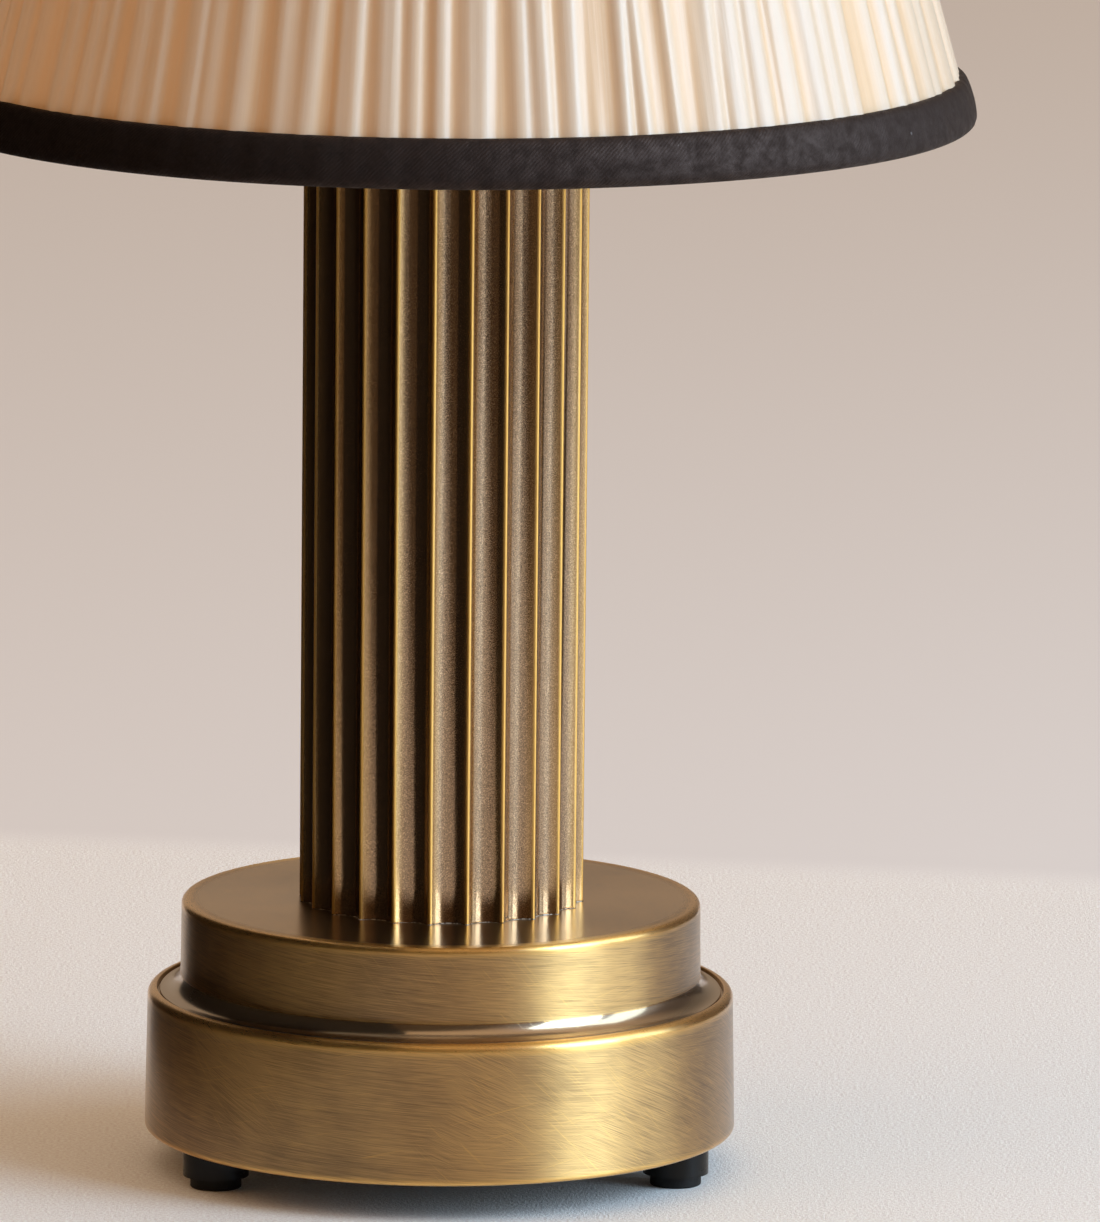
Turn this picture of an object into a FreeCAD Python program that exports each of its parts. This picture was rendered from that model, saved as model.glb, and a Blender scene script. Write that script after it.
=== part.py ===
import FreeCAD, Part
import math
import os

# Column table lamp. Millimetres, +Z up, the front is -Y and the origin is the centre of the feet's plane.
# A bearing is an angle in plan, in degrees from the front, growing towards +X.

os.makedirs("parts", exist_ok=True)
V = FreeCAD.Vector
UP = V(0, 0, 1)

# Clearances
THREAD_GAP = 0.05
RUN_GAP = 0.05
FIT_GAP = 0.3
HOLE_SPARE = 0.5

# Feet
FOOT_BEARINGS = (-60.0, 67.0, 183.5)
FOOT_CIRCLE_R = 61.2
FOOT_BODY_R = 7.8
FOOT_BODY_H = 7.1
FOOT_PAD_R = 6.1
FOOT_PAD_DROP = 2.9
FOOT_PAD_SEAT = 1.6
FOOT_PAD_EDGE_R = 0.5
FOOT_SCREW_R = 2.0
FOOT_SCREW_HEAD_R = 3.5
FOOT_SCREW_HEAD_H = 2.6
FOOT_SCREW_TAIL = 1.0
FOOT_FLOOR_T = 2.7
FOOT_NUT_FLATS = 7.0
FOOT_NUT_H = 3.2

# Base plate and what hangs on it
PLATE_T = 2.0
PLATE_RECESS = 1.0
PLATE_EDGE_GAP = 0.5
PILLAR_CIRCLE_R = 42.0
PILLAR_BEARINGS = (0.0, 120.0, 240.0)
PILLAR_FLATS = 8.0
PILLAR_STUD_R = 2.0
PILLAR_STUD_L = 6.0
PLATE_SCREW_R = 1.5
PLATE_SCREW_L = 5.5
PLATE_SCREW_HEAD_R = 2.8
PLATE_SCREW_HEAD_H = 1.8

# Base weight
WEIGHT_R = 63.0
WEIGHT_T = 13.0
WEIGHT_CHAMFER = 1.5

# Lower tier
PLINTH_FOOT_R = 70.4
PLINTH_H = 33.8
PLINTH_WALL = 1.2
PLINTH_EDGE_R = 1.0
BEAD_R = 2.2
DRAFT_DEG = 1.3
LEDGE_DROP = 1.6
WEB_T = 1.6
WEB_HOLE_R = 52.0

# Upper tier
DRUM_H = 23.1
DRUM_WALL = 1.6
DRUM_TOP_T = 2.0
DRUM_SHOULDER_R = 1.5
COVE_R = 5.0
FLANGE_T = 1.2
QUIRK_W = 0.35

# Cable inlet in the rear of the plinth
INLET_Z = 21.0
INLET_BORE_R = 3.2
INLET_NECK_R = 5.0
INLET_FLANGE_R = 6.8
INLET_FLANGE_T = 1.6
INLET_INNER_FLANGE_T = 3.2

# Terminal block
BLOCK_W = 22.0
BLOCK_D = 13.0
BLOCK_H = 10.0
BLOCK_Y = 34.0
BLOCK_CORNER_R = 1.0
TERMINAL_PITCH = 12.0
TERMINAL_ROW = 6.4
TERMINAL_SCREW_R = 1.8
TERMINAL_SCREW_H = 3.0
TERMINAL_WELL = 1.0
BLOCK_SCREW_R = 1.5
BLOCK_SCREW_HEAD_R = 2.6
BLOCK_SCREW_HEAD_H = 1.6
SLOT_W = 0.7
SLOT_DEPTH = 0.8

# Insulated wires inside the lamp
WIRE_R = 0.9
WIRE_SPREAD = 1.4
WIRE_FLOOR_GAP = 3.0
WIRE_BLOCK_BEND_R = 12.0
WIRE_FOOT_BEND_R = 6.0
WIRE_HEAD_BEND_R = 3.0
WIRE_HEAD_RUN = 3.2
WIRE_HEAD_RISE = 1.0

# Threaded pipe and its nuts
PIPE_R = 5.0
PIPE_BORE_R = 3.9
PIPE_TAIL = 1.5
PIPE_HOLE_GAP = 0.3
PIPE_NUT_FLATS = 14.0
PIPE_NUT_H = 4.0
PIPE_NUT_UPPER_H = 3.5
WASHER_R = 9.5
WASHER_T = 1.0

# Fluted column
COLUMN_R = 34.0
COLUMN_H = 191.7
COLUMN_BORE_R = 30.0
FLUTE_COUNT = 24
FLUTE_DEPTH = 2.3
ARRIS_LAND = 0.5
ARRIS_BEARING = -4.5
SPIGOT_H = 8.0

# Cap and neck
CAP_OVERHANG = 1.5
CAP_T = 4.0
CAP_EDGE_R = 1.2
NECK_R = 8.0
NECK_H = 8.0
NECK_WAIST_R = 6.8
NECK_LAND_H = 1.3

# Harp and saddle
SADDLE_T = 1.6
SADDLE_W = 12.0
SADDLE_CORNER_R = 3.0
PRONG_W = 5.0
PRONG_H = 13.4
HARP_ROD_R = 1.6
HARP_LEG_X = 23.0
HARP_WAIST_X = 40.0
HARP_KNEE_H = 36.4
HARP_HIP_H = 64.4
HARP_H = 142.4
HARP_KNEE_BEND_R = 30.0
HARP_TOP_BEND_R = 32.0
SLEEVE_H = 13.0
SLEEVE_WALL = 0.8
SLEEVE_GAP = 0.33
COLLAR_R = 6.0
COLLAR_BELOW_ROD = 0.8
COLLAR_ABOVE_ROD = 4.0
STUD_CAVITY_R = 4.4
STUD_CAVITY_H = 1.4
STUD_CAVITY_ROOF = 1.8
STUD_HEAD_R = 4.1
STUD_HEAD_H = 1.2
STUD_SHANK_R = 2.5
STUD_SEAT_R = 8.5
STUD_SEAT_T = 2.1
STUD_POST_R = 3.1
STUD_POST_H = 14.0
STUD_POST_CHAMFER = 1.0

# Lampholder
HOLDER_CAP_R = 16.5
HOLDER_CAP_HUB_R = 8.5
HOLDER_CAP_HUB_H = 3.0
HOLDER_CAP_FLARE_H = 7.0
HOLDER_CAP_RIM_H = 7.9
HOLDER_CAP_WALL = 0.8
PIPE_IN_CAP = 3.4
SHELL_TUCK = 6.6
SHELL_WAIST_R = 16.8
SHELL_WAIST_H = 8.0
SHELL_R = 18.2
SHELL_FLARE_H = 5.0
SHELL_H = 52.0
SHELL_WALL = 0.7
SHELL_STEP_H = 0.6
SHELL_LIP_R = 18.9
SHELL_LIP_H = 2.0
LINER_T = 0.6
LINER_SHORT = 3.0
BODY_H = 17.0
BODY_LIFT = 12.5
BODY_EDGE_R = 0.8
THIMBLE_BORE_R = 13.3
THIMBLE_WALL = 0.4
THIMBLE_H = 27.0
THIMBLE_FLANGE_HOLE_R = 9.0
THIMBLE_FLANGE_T = 0.6
CONTACT_STRIP_T = 0.5
CONTACT_STRIP_W = 5.0
CONTACT_RISE = 2.5
CONTACT_FOOT_L = 3.5
CONTACT_LEG_RUN = 3.0
CONTACT_TONGUE_L = 3.5
CONTACT_LEG_SKEW = 0.3
HOLDER_SCREW_R = 2.2
HOLDER_SCREW_H = 1.5
HOLDER_SCREW_X = 8.0

# Turn switch
SWITCH_ABOVE_BODY_FOOT = 10.0
SWITCH_SHAFT_R = 1.6
SWITCH_SHAFT_DEPTH = 8.0
SWITCH_POCKET_GAP = 0.5
SWITCH_KNOB_GAP = 2.0
SWITCH_KNOB_R = 6.0
SWITCH_KNOB_L = 12.0
SWITCH_KNOB_FLAT = 3.2
SWITCH_KNOB_HUB_L = 3.0
SWITCH_KNOB_BORE_L = 9.0
SWITCH_KNOB_EDGE_R = 1.2

# Light bulb
BULB_BUTTON_R = 4.2
BULB_BUTTON_TIP_R = 2.5
BULB_BUTTON_TIP_H = 0.8
BULB_BUTTON_H = 1.3
BULB_INSULATOR_H = 2.4
BULB_INSULATOR_RIM = 0.8
BULB_CAP_R = 13.0
BULB_CAP_H = 22.0
BULB_CAP_WALL = 0.4
BULB_CAP_TAPER = 1.2
BULB_CAP_TAPER_H = 1.5
BULB_NECK_R = 12.5
BULB_NECK_TUCK = 9.0
BULB_NECK_H = 4.0
BULB_R = 24.0
BULB_L = 89.0
BULB_GLASS_T = 0.9
STEM_EDGE_H = 1.2
STEM_FLARE_H = 14.0
STEM_FLARE_MID_R = 5.0
STEM_FLARE_MID_H = 5.0
STEM_TIP_CHAMFER = 1.0
STEM_POST_R = 2.6
STEM_H = 26.0
MAST_R = 0.5
SPOKE_R = 0.4
FILAMENT_R = 0.8
FILAMENT_L = 30.0
FILAMENT_COUNT = 4
FILAMENT_CIRCLE_R = 8.0
FILAMENT_BEARING = 45.0

# Shade
SHADE_BOTTOM_R = 124.2
SHADE_TOP_R = 75.0
SHADE_H = 174.0
SHADE_DROP = 166.5
GATHER_COUNT = 104
GATHER_DEPTH = 0.9
CLOTH_T = 1.8
RING_WIRE_R = 1.5
RING_INSET = 2.4
STRUT_R = 1.2
STRUT_COUNT = 6
STRUT_BEARING = 30.0
LINING_T = 0.6
TRIM_H = 10.5
TRIM_BULGE = 1.9
TRIM_WRAP = 0.9
TRIM_INNER_H = 8.0
TRIM_CROWN_H = 4.4
TRIM_LIP_IN = 0.4
HUB_R = 9.5
HUB_BORE_GAP = 0.3
HUB_T = 1.5
ARM_R = 1.4
ARM_COUNT = 3
ARM_BEARING = 60.0

# Finial
FINIAL_INSERT_R = 4.3
FINIAL_INSERT_H = 11.5
FINIAL_FOOT_R = 7.0
FINIAL_FOOT_H = 2.2
FINIAL_FOOT_CHAMFER = 0.4
FINIAL_NECK_R = 5.4
FINIAL_NECK_H = 5.0
FINIAL_BALL_R = 8.4
FINIAL_BALL_LIFT = 6.7
FINIAL_TIP_R = 2.2
FINIAL_TIP_NECK_H = 1.6
FINIAL_CROWN_T = 1.6

# Heights that follow from the stack
plate_bottom = FOOT_PAD_DROP + FOOT_BODY_H
plate_top = plate_bottom + PLATE_T
plinth_bottom = plate_bottom - PLATE_RECESS
plinth_top = plinth_bottom + PLINTH_H
ledge_z = plinth_top - LEDGE_DROP
web_z = ledge_z - WEB_T
weight_bottom = web_z - WEIGHT_T
drum_top = ledge_z + DRUM_H
column_top = drum_top + COLUMN_H
cap_top = column_top + CAP_T
saddle_z = cap_top + NECK_H
saddle_top = saddle_z + SADDLE_T
holder_z = saddle_top + PIPE_NUT_UPPER_H
pipe_bottom = weight_bottom - WASHER_T - PIPE_NUT_H - PIPE_TAIL
pipe_top = holder_z + PIPE_IN_CAP
harp_top = saddle_top + HARP_H
collar_top = harp_top + HARP_ROD_R + COLLAR_ABOVE_ROD
seat_z = collar_top + STUD_SEAT_T
hub_top = seat_z + HUB_T
shade_bottom = seat_z - SHADE_DROP
shade_top = shade_bottom + SHADE_H
holder_rim_z = holder_z + HOLDER_CAP_HUB_H + HOLDER_CAP_FLARE_H + HOLDER_CAP_RIM_H
shell_foot = holder_rim_z - SHELL_TUCK
body_foot = holder_z + BODY_LIFT
body_top = body_foot + BODY_H
bulb_tip = body_top + CONTACT_RISE + CONTACT_STRIP_T

# Radii that follow from the walls
draft = math.tan(math.radians(DRAFT_DEG))
bead_z = plinth_top - BEAD_R
bead_outer_r = PLINTH_FOOT_R - (bead_z - plinth_bottom - PLINTH_EDGE_R) * draft
ledge_r = bead_outer_r - BEAD_R
flange_r = ledge_r - QUIRK_W
wall_foot_r = flange_r - COVE_R
wall_foot_z = ledge_z + FLANGE_T + COVE_R
shoulder_z = drum_top - DRUM_SHOULDER_R
shoulder_r = wall_foot_r - (shoulder_z - wall_foot_z) * draft
pipe_hole_r = PIPE_R + PIPE_HOLE_GAP
shade_slope = (SHADE_BOTTOM_R - SHADE_TOP_R) / SHADE_H


def plan(radius, bearing, z=0.0):
    """Point at a radius and bearing."""
    angle = math.radians(bearing)
    return V(radius * math.sin(angle), -radius * math.cos(angle), z)


def arc_step(centre, radius, start_deg, end_deg):
    """Middle and end of an arc in the (r, z) plane, as one step of an outline."""
    points = []
    for angle in ((start_deg + end_deg) / 2, end_deg):
        turn = math.radians(angle)
        points.append((centre[0] + radius * math.cos(turn), centre[1] + radius * math.sin(turn)))
    return tuple(points)


def outline(start, steps):
    """Closed face in the XZ plane: a step is a point to draw a line to, or an arc's middle and end."""
    edges = []
    here = V(start[0], 0, start[1])
    for step in list(steps) + [start]:
        if isinstance(step[0], tuple):
            middle = V(step[0][0], 0, step[0][1])
            there = V(step[1][0], 0, step[1][1])
            edges.append(Part.Arc(here, middle, there).toShape())
        else:
            there = V(step[0], 0, step[1])
            if here.distanceToPoint(there) < 1e-6:
                continue
            edges.append(Part.makeLine(here, there))
        here = there
    return Part.Face(Part.Wire(edges))


def turned(start, steps):
    """Solid of revolution about the lamp's axis."""
    return outline(start, steps).revolve(V(0, 0, 0), UP, 360)


def disc(radius, z, height):
    return Part.makeCylinder(radius, height, V(0, 0, z))


def ring(outer, inner, z, height):
    return disc(outer, z, height).cut(disc(inner, z, height))


def prism(flats, z, height):
    """Hexagonal prism on the axis."""
    corner = flats / math.sqrt(3)
    points = [plan(corner, 60 * k, z) for k in range(7)]
    return Part.Face(Part.makePolygon(points)).extrude(UP * height)


def nut(flats, bore_r, z, height):
    return prism(flats, z, height).cut(disc(bore_r, z, height))


def around(shape, radius, bearings):
    """Copies of a shape, made on the axis, at a radius and each of the bearings."""
    copies = []
    for bearing in bearings:
        copy = shape.copy()
        copy.rotate(V(0, 0, 0), UP, bearing)
        copy.translate(plan(radius, bearing))
        copies.append(copy)
    return Part.makeCompound(copies)


def evenly(count, first=0.0):
    return [first + 360.0 * k / count for k in range(count)]


def rounded_path(points, radii):
    """Straight runs joined by tangent arcs, one radius for each inner point."""
    edges = []
    here = points[0]
    for before, corner, after, radius in zip(points, points[1:], points[2:], radii):
        to_before = (before - corner).normalize()
        to_after = (after - corner).normalize()
        half = to_before.getAngle(to_after) / 2
        reach = radius / math.tan(half)
        start = corner + to_before * reach
        end = corner + to_after * reach
        bisector = (to_before + to_after).normalize()
        middle = corner + bisector * (radius / math.sin(half) - radius)
        edges.append(Part.makeLine(here, start))
        edges.append(Part.Arc(start, middle, end).toShape())
        here = end
    edges.append(Part.makeLine(here, points[-1]))
    return Part.Wire(edges)


def rod(points, radii, radius):
    """Round bar along a rounded path."""
    path = rounded_path(points, radii)
    circle = Part.Wire(Part.makeCircle(radius, points[0], points[1] - points[0]))
    return path.makePipeShell([circle], True, False)


def bar(start, end, radius):
    """Straight round bar between two points."""
    along = end - start
    return Part.makeCylinder(radius, along.Length, start, along)


def bolt(shank_r, shank_l, head_r, head_h, z):
    """Screw with its head under z and its shank above."""
    return disc(head_r, z - head_h, head_h).fuse(disc(shank_r, z, shank_l)).removeSplitter()


# Feet

def foot_bodies():
    floor_z = plate_bottom - FOOT_FLOOR_T
    seat_z0 = FOOT_PAD_DROP + FOOT_PAD_SEAT
    body = disc(FOOT_BODY_R, FOOT_PAD_DROP, FOOT_BODY_H)
    body = body.cut(disc(FOOT_PAD_R, FOOT_PAD_DROP, FOOT_PAD_SEAT))
    body = body.cut(disc(FOOT_SCREW_HEAD_R + FIT_GAP, seat_z0, floor_z - seat_z0))
    body = body.cut(disc(FOOT_SCREW_R + THREAD_GAP, floor_z, FOOT_FLOOR_T))
    return around(body, FOOT_CIRCLE_R, FOOT_BEARINGS)


def foot_pads():
    height = FOOT_PAD_DROP + FOOT_PAD_SEAT
    pad = ring(FOOT_PAD_R, FOOT_SCREW_HEAD_R + FIT_GAP, 0, height)
    rim = [edge for edge in pad.Edges if edge.BoundBox.ZMax < 1e-6]
    rim = [edge for edge in rim if edge.BoundBox.XMax > FOOT_PAD_R - FOOT_PAD_EDGE_R]
    return around(pad.makeFillet(FOOT_PAD_EDGE_R, rim), FOOT_CIRCLE_R, FOOT_BEARINGS)


def foot_screws():
    floor_z = plate_bottom - FOOT_FLOOR_T
    length = FOOT_FLOOR_T + PLATE_T + FOOT_NUT_H + FOOT_SCREW_TAIL
    screw = bolt(FOOT_SCREW_R, length, FOOT_SCREW_HEAD_R, FOOT_SCREW_HEAD_H, floor_z)
    return around(screw, FOOT_CIRCLE_R, FOOT_BEARINGS)


def foot_nuts():
    piece = nut(FOOT_NUT_FLATS, FOOT_SCREW_R + THREAD_GAP, plate_top, FOOT_NUT_H)
    return around(piece, FOOT_CIRCLE_R, FOOT_BEARINGS)


# Base

def plinth_inner_r():
    return PLINTH_FOOT_R - PLINTH_WALL


def base_plate():
    plate = disc(plinth_inner_r() - PLATE_EDGE_GAP, plate_bottom, PLATE_T)
    foot_hole = disc(FOOT_SCREW_R + THREAD_GAP, plate_bottom, PLATE_T)
    screw_hole = disc(PLATE_SCREW_R + THREAD_GAP, plate_bottom, PLATE_T)
    block_hole = disc(BLOCK_SCREW_R + THREAD_GAP, plate_bottom, PLATE_T)
    block_hole.translate(V(0, BLOCK_Y, 0))
    plate = plate.cut(around(foot_hole, FOOT_CIRCLE_R, FOOT_BEARINGS))
    plate = plate.cut(around(screw_hole, PILLAR_CIRCLE_R, PILLAR_BEARINGS))
    return plate.cut(block_hole)


def plate_pillars():
    pillar = prism(PILLAR_FLATS, plate_top, weight_bottom - plate_top)
    pillar = pillar.cut(disc(PLATE_SCREW_R + THREAD_GAP, plate_top, PLATE_SCREW_L + HOLE_SPARE))
    pillar = pillar.fuse(disc(PILLAR_STUD_R, weight_bottom, PILLAR_STUD_L)).removeSplitter()
    return around(pillar, PILLAR_CIRCLE_R, PILLAR_BEARINGS)


def plate_screws():
    length = PLATE_T + PLATE_SCREW_L
    screw = bolt(PLATE_SCREW_R, length, PLATE_SCREW_HEAD_R, PLATE_SCREW_HEAD_H, plate_bottom)
    return around(screw, PILLAR_CIRCLE_R, PILLAR_BEARINGS)


def base_weight():
    top = weight_bottom + WEIGHT_T
    weight = turned((pipe_hole_r, weight_bottom), [
        (WEIGHT_R - WEIGHT_CHAMFER, weight_bottom),
        (WEIGHT_R, weight_bottom + WEIGHT_CHAMFER),
        (WEIGHT_R, top - WEIGHT_CHAMFER),
        (WEIGHT_R - WEIGHT_CHAMFER, top),
        (pipe_hole_r, top)])
    stud_hole = disc(PILLAR_STUD_R + THREAD_GAP, weight_bottom, PILLAR_STUD_L + HOLE_SPARE)
    return weight.cut(around(stud_hole, PILLAR_CIRCLE_R, PILLAR_BEARINGS))


def inlet_bar(radius, start, end):
    """Bar along the inlet's axis, from one y to another."""
    return bar(V(0, start, INLET_Z), V(0, end, INLET_Z), radius)


def base_plinth():
    shell = turned((plinth_inner_r(), plinth_bottom), [
        (PLINTH_FOOT_R - PLINTH_EDGE_R, plinth_bottom),
        arc_step((PLINTH_FOOT_R - PLINTH_EDGE_R, plinth_bottom + PLINTH_EDGE_R), PLINTH_EDGE_R, -90, 0),
        (bead_outer_r, bead_z),
        arc_step((ledge_r, bead_z), BEAD_R, 0, 90),
        (ledge_r, ledge_z),
        (WEB_HOLE_R, ledge_z),
        (WEB_HOLE_R, web_z),
        (bead_outer_r - PLINTH_WALL, web_z)])
    return shell.cut(inlet_bar(INLET_NECK_R, WEB_HOLE_R, 2 * PLINTH_FOOT_R))


def base_drum():
    underside = drum_top - DRUM_TOP_T
    inner_r = shoulder_r - DRUM_WALL
    return turned((pipe_hole_r, drum_top), [
        (shoulder_r - DRUM_SHOULDER_R, drum_top),
        arc_step((shoulder_r - DRUM_SHOULDER_R, shoulder_z), DRUM_SHOULDER_R, 90, 0),
        (wall_foot_r, wall_foot_z),
        arc_step((flange_r, wall_foot_z), COVE_R, 180, 270),
        (flange_r, ledge_z),
        (inner_r, ledge_z),
        (inner_r, underside),
        (pipe_hole_r, underside)])


def cable_inlet_bush():
    inside = plinth_inner_r() - INLET_INNER_FLANGE_T
    outside = PLINTH_FOOT_R + INLET_FLANGE_T
    bush = inlet_bar(INLET_FLANGE_R, inside, outside).cut(base_plinth())
    return bush.cut(inlet_bar(INLET_BORE_R, inside, outside))


# Wiring in the base

def terminal_places():
    places = []
    for x in (-TERMINAL_PITCH / 2, TERMINAL_PITCH / 2):
        for y in (BLOCK_Y - TERMINAL_ROW / 2, BLOCK_Y + TERMINAL_ROW / 2):
            places.append(V(x, y, 0))
    return places


def wire_end_y():
    """Front face of the terminal block, where the inner wires leave it."""
    return BLOCK_Y - BLOCK_D / 2


def terminal_block():
    block = Part.makeBox(BLOCK_W, BLOCK_D, BLOCK_H, V(-BLOCK_W / 2, wire_end_y(), plate_top))
    corners = [edge for edge in block.Edges if edge.BoundBox.ZLength > BLOCK_H / 2]
    block = block.makeFillet(BLOCK_CORNER_R, corners)
    for place in terminal_places():
        well = disc(TERMINAL_SCREW_R + THREAD_GAP, plate_top + BLOCK_H - TERMINAL_WELL - TERMINAL_SCREW_H,
                    TERMINAL_WELL + TERMINAL_SCREW_H)
        well.translate(place)
        block = block.cut(well)
    hole = disc(BLOCK_SCREW_R + THREAD_GAP, plate_top, BLOCK_H)
    hole.translate(V(0, BLOCK_Y, 0))
    return block.cut(hole)


def screw_slot(head_r, top):
    """Driver slot across a screw head on the axis."""
    return Part.makeBox(2 * head_r, SLOT_W, SLOT_DEPTH, V(-head_r, -SLOT_W / 2, top - SLOT_DEPTH))


def terminal_screws():
    screws = []
    top = plate_top + BLOCK_H - TERMINAL_WELL
    slot = screw_slot(TERMINAL_SCREW_R, top)
    for place in terminal_places():
        screw = disc(TERMINAL_SCREW_R, top - TERMINAL_SCREW_H, TERMINAL_SCREW_H).cut(slot)
        screw.translate(place)
        screws.append(screw)
    return Part.makeCompound(screws)


def terminal_block_screw():
    head_z = plate_top + BLOCK_H
    shank = disc(BLOCK_SCREW_R, plate_bottom, head_z - plate_bottom)
    head = disc(BLOCK_SCREW_HEAD_R, head_z, BLOCK_SCREW_HEAD_H)
    slot = screw_slot(BLOCK_SCREW_HEAD_R, head_z + BLOCK_SCREW_HEAD_H)
    screw = shank.fuse(head).removeSplitter().cut(slot)
    screw.translate(V(0, BLOCK_Y, 0))
    return screw


def internal_wires():
    """Two insulated wires: from the block along the plate, up the pipe, out to the lampholder's screws."""
    low = plate_top + WIRE_FLOOR_GAP + WIRE_R
    wires = []
    for side in (-1, 1):
        points = [
            V(side * TERMINAL_PITCH / 2, wire_end_y(), low),
            V(side * TERMINAL_PITCH / 2, wire_end_y() / 2, low),
            V(side * WIRE_SPREAD, 0, low),
            V(side * WIRE_SPREAD, 0, pipe_top + WIRE_HEAD_RISE),
            V(side * HOLDER_SCREW_X, 0, body_foot - HOLDER_SCREW_H - WIRE_HEAD_RUN),
            V(side * HOLDER_SCREW_X, 0, body_foot - HOLDER_SCREW_H)]
        radii = [WIRE_BLOCK_BEND_R, WIRE_FOOT_BEND_R, WIRE_HEAD_BEND_R, WIRE_HEAD_BEND_R]
        wires.append(rod(points, radii, WIRE_R))
    return Part.makeCompound(wires)


# Pipe, nuts and washer

def lamp_pipe():
    return ring(PIPE_R, PIPE_BORE_R, pipe_bottom, pipe_top - pipe_bottom)


def lock_washer():
    return ring(WASHER_R, PIPE_R + THREAD_GAP, weight_bottom - WASHER_T, WASHER_T)


def pipe_nut_lower():
    return nut(PIPE_NUT_FLATS, PIPE_R + THREAD_GAP, weight_bottom - WASHER_T - PIPE_NUT_H, PIPE_NUT_H)


def pipe_nut_upper():
    return nut(PIPE_NUT_FLATS, PIPE_R + THREAD_GAP, saddle_top, PIPE_NUT_UPPER_H)


# Column

def fluted_column():
    pitch = 360.0 / FLUTE_COUNT
    land = math.degrees(math.asin(ARRIS_LAND / 2 / COLUMN_R))
    edges = []
    for k in range(FLUTE_COUNT):
        arris = ARRIS_BEARING + k * pitch
        land_start = plan(COLUMN_R, arris - land, drum_top)
        land_end = plan(COLUMN_R, arris + land, drum_top)
        next_land = plan(COLUMN_R, arris + pitch - land, drum_top)
        flute_floor = plan(COLUMN_R - FLUTE_DEPTH, arris + pitch / 2, drum_top)
        edges.append(Part.Arc(land_start, plan(COLUMN_R, arris, drum_top), land_end).toShape())
        edges.append(Part.Arc(land_end, flute_floor, next_land).toShape())
    column = Part.Face(Part.Wire(edges)).extrude(UP * COLUMN_H)
    return column.cut(disc(COLUMN_BORE_R, drum_top, COLUMN_H))


def column_lower_spigot():
    return ring(COLUMN_BORE_R - FIT_GAP, pipe_hole_r, drum_top, SPIGOT_H)


def column_upper_spigot():
    return ring(COLUMN_BORE_R - FIT_GAP, pipe_hole_r, column_top - SPIGOT_H, SPIGOT_H)


def column_cap():
    outer = COLUMN_R + CAP_OVERHANG
    return turned((pipe_hole_r, column_top), [
        (outer, column_top),
        (outer, cap_top - CAP_EDGE_R),
        arc_step((outer - CAP_EDGE_R, cap_top - CAP_EDGE_R), CAP_EDGE_R, 0, 90),
        (pipe_hole_r, cap_top)])


def neck_spacer():
    return turned((pipe_hole_r, cap_top), [
        (NECK_R, cap_top),
        (NECK_R, cap_top + NECK_LAND_H),
        ((NECK_WAIST_R, cap_top + NECK_H / 2), (NECK_R, saddle_z - NECK_LAND_H)),
        (NECK_R, saddle_z),
        (pipe_hole_r, saddle_z)])


# Harp

def prong_x():
    """Outer face of the saddle's prong, which stands against the harp's leg."""
    return HARP_LEG_X + HARP_ROD_R + SADDLE_T


def harp_saddle():
    strap_x = sleeve_axis_x() + sleeve_outer_r()
    saddle = Part.makeBox(2 * strap_x, SADDLE_W, SADDLE_T, V(-strap_x, -SADDLE_W / 2, saddle_z))
    corners = [edge for edge in saddle.Edges if edge.BoundBox.ZLength > SADDLE_T / 2]
    saddle = saddle.makeFillet(SADDLE_CORNER_R, corners)
    for x in (HARP_LEG_X + HARP_ROD_R, -prong_x()):
        prong = Part.makeBox(SADDLE_T, PRONG_W, PRONG_H + SADDLE_T, V(x, -PRONG_W / 2, saddle_z))
        saddle = saddle.fuse(prong)
    return saddle.cut(disc(pipe_hole_r, saddle_z, SADDLE_T)).removeSplitter()


def sleeve_axis_x():
    return (HARP_LEG_X - HARP_ROD_R + prong_x()) / 2


def sleeve_bore_r():
    """Just over the prong's corner, seen from the sleeve's axis."""
    return math.hypot(prong_x() - sleeve_axis_x(), PRONG_W / 2) + SLEEVE_GAP


def sleeve_outer_r():
    return sleeve_bore_r() + SLEEVE_WALL


def harp_sleeve(side):
    sleeve = ring(sleeve_outer_r(), sleeve_bore_r(), saddle_top, SLEEVE_H)
    sleeve.translate(V(side * sleeve_axis_x(), 0, 0))
    return sleeve


def harp():
    half = [
        V(HARP_LEG_X, 0, saddle_top),
        V(HARP_LEG_X, 0, saddle_top + HARP_KNEE_H),
        V(HARP_WAIST_X, 0, saddle_top + HARP_HIP_H),
        V(HARP_WAIST_X, 0, harp_top)]
    mirrored = [V(-point.x, 0, point.z) for point in reversed(half)]
    bends = [HARP_KNEE_BEND_R, HARP_KNEE_BEND_R, HARP_TOP_BEND_R]
    return rod(half + mirrored, bends + bends[::-1], HARP_ROD_R)


def stud_cavity_z():
    return collar_top - STUD_CAVITY_ROOF - STUD_CAVITY_H


def harp_top_collar():
    foot = harp_top - HARP_ROD_R - COLLAR_BELOW_ROD
    collar = disc(COLLAR_R, foot, collar_top - foot)
    collar = collar.cut(bar(V(-2 * COLLAR_R, 0, harp_top), V(2 * COLLAR_R, 0, harp_top), HARP_ROD_R))
    collar = collar.cut(disc(STUD_CAVITY_R, stud_cavity_z(), STUD_CAVITY_H))
    return collar.cut(disc(STUD_SHANK_R + RUN_GAP, stud_cavity_z(), STUD_CAVITY_H + STUD_CAVITY_ROOF))


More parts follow.
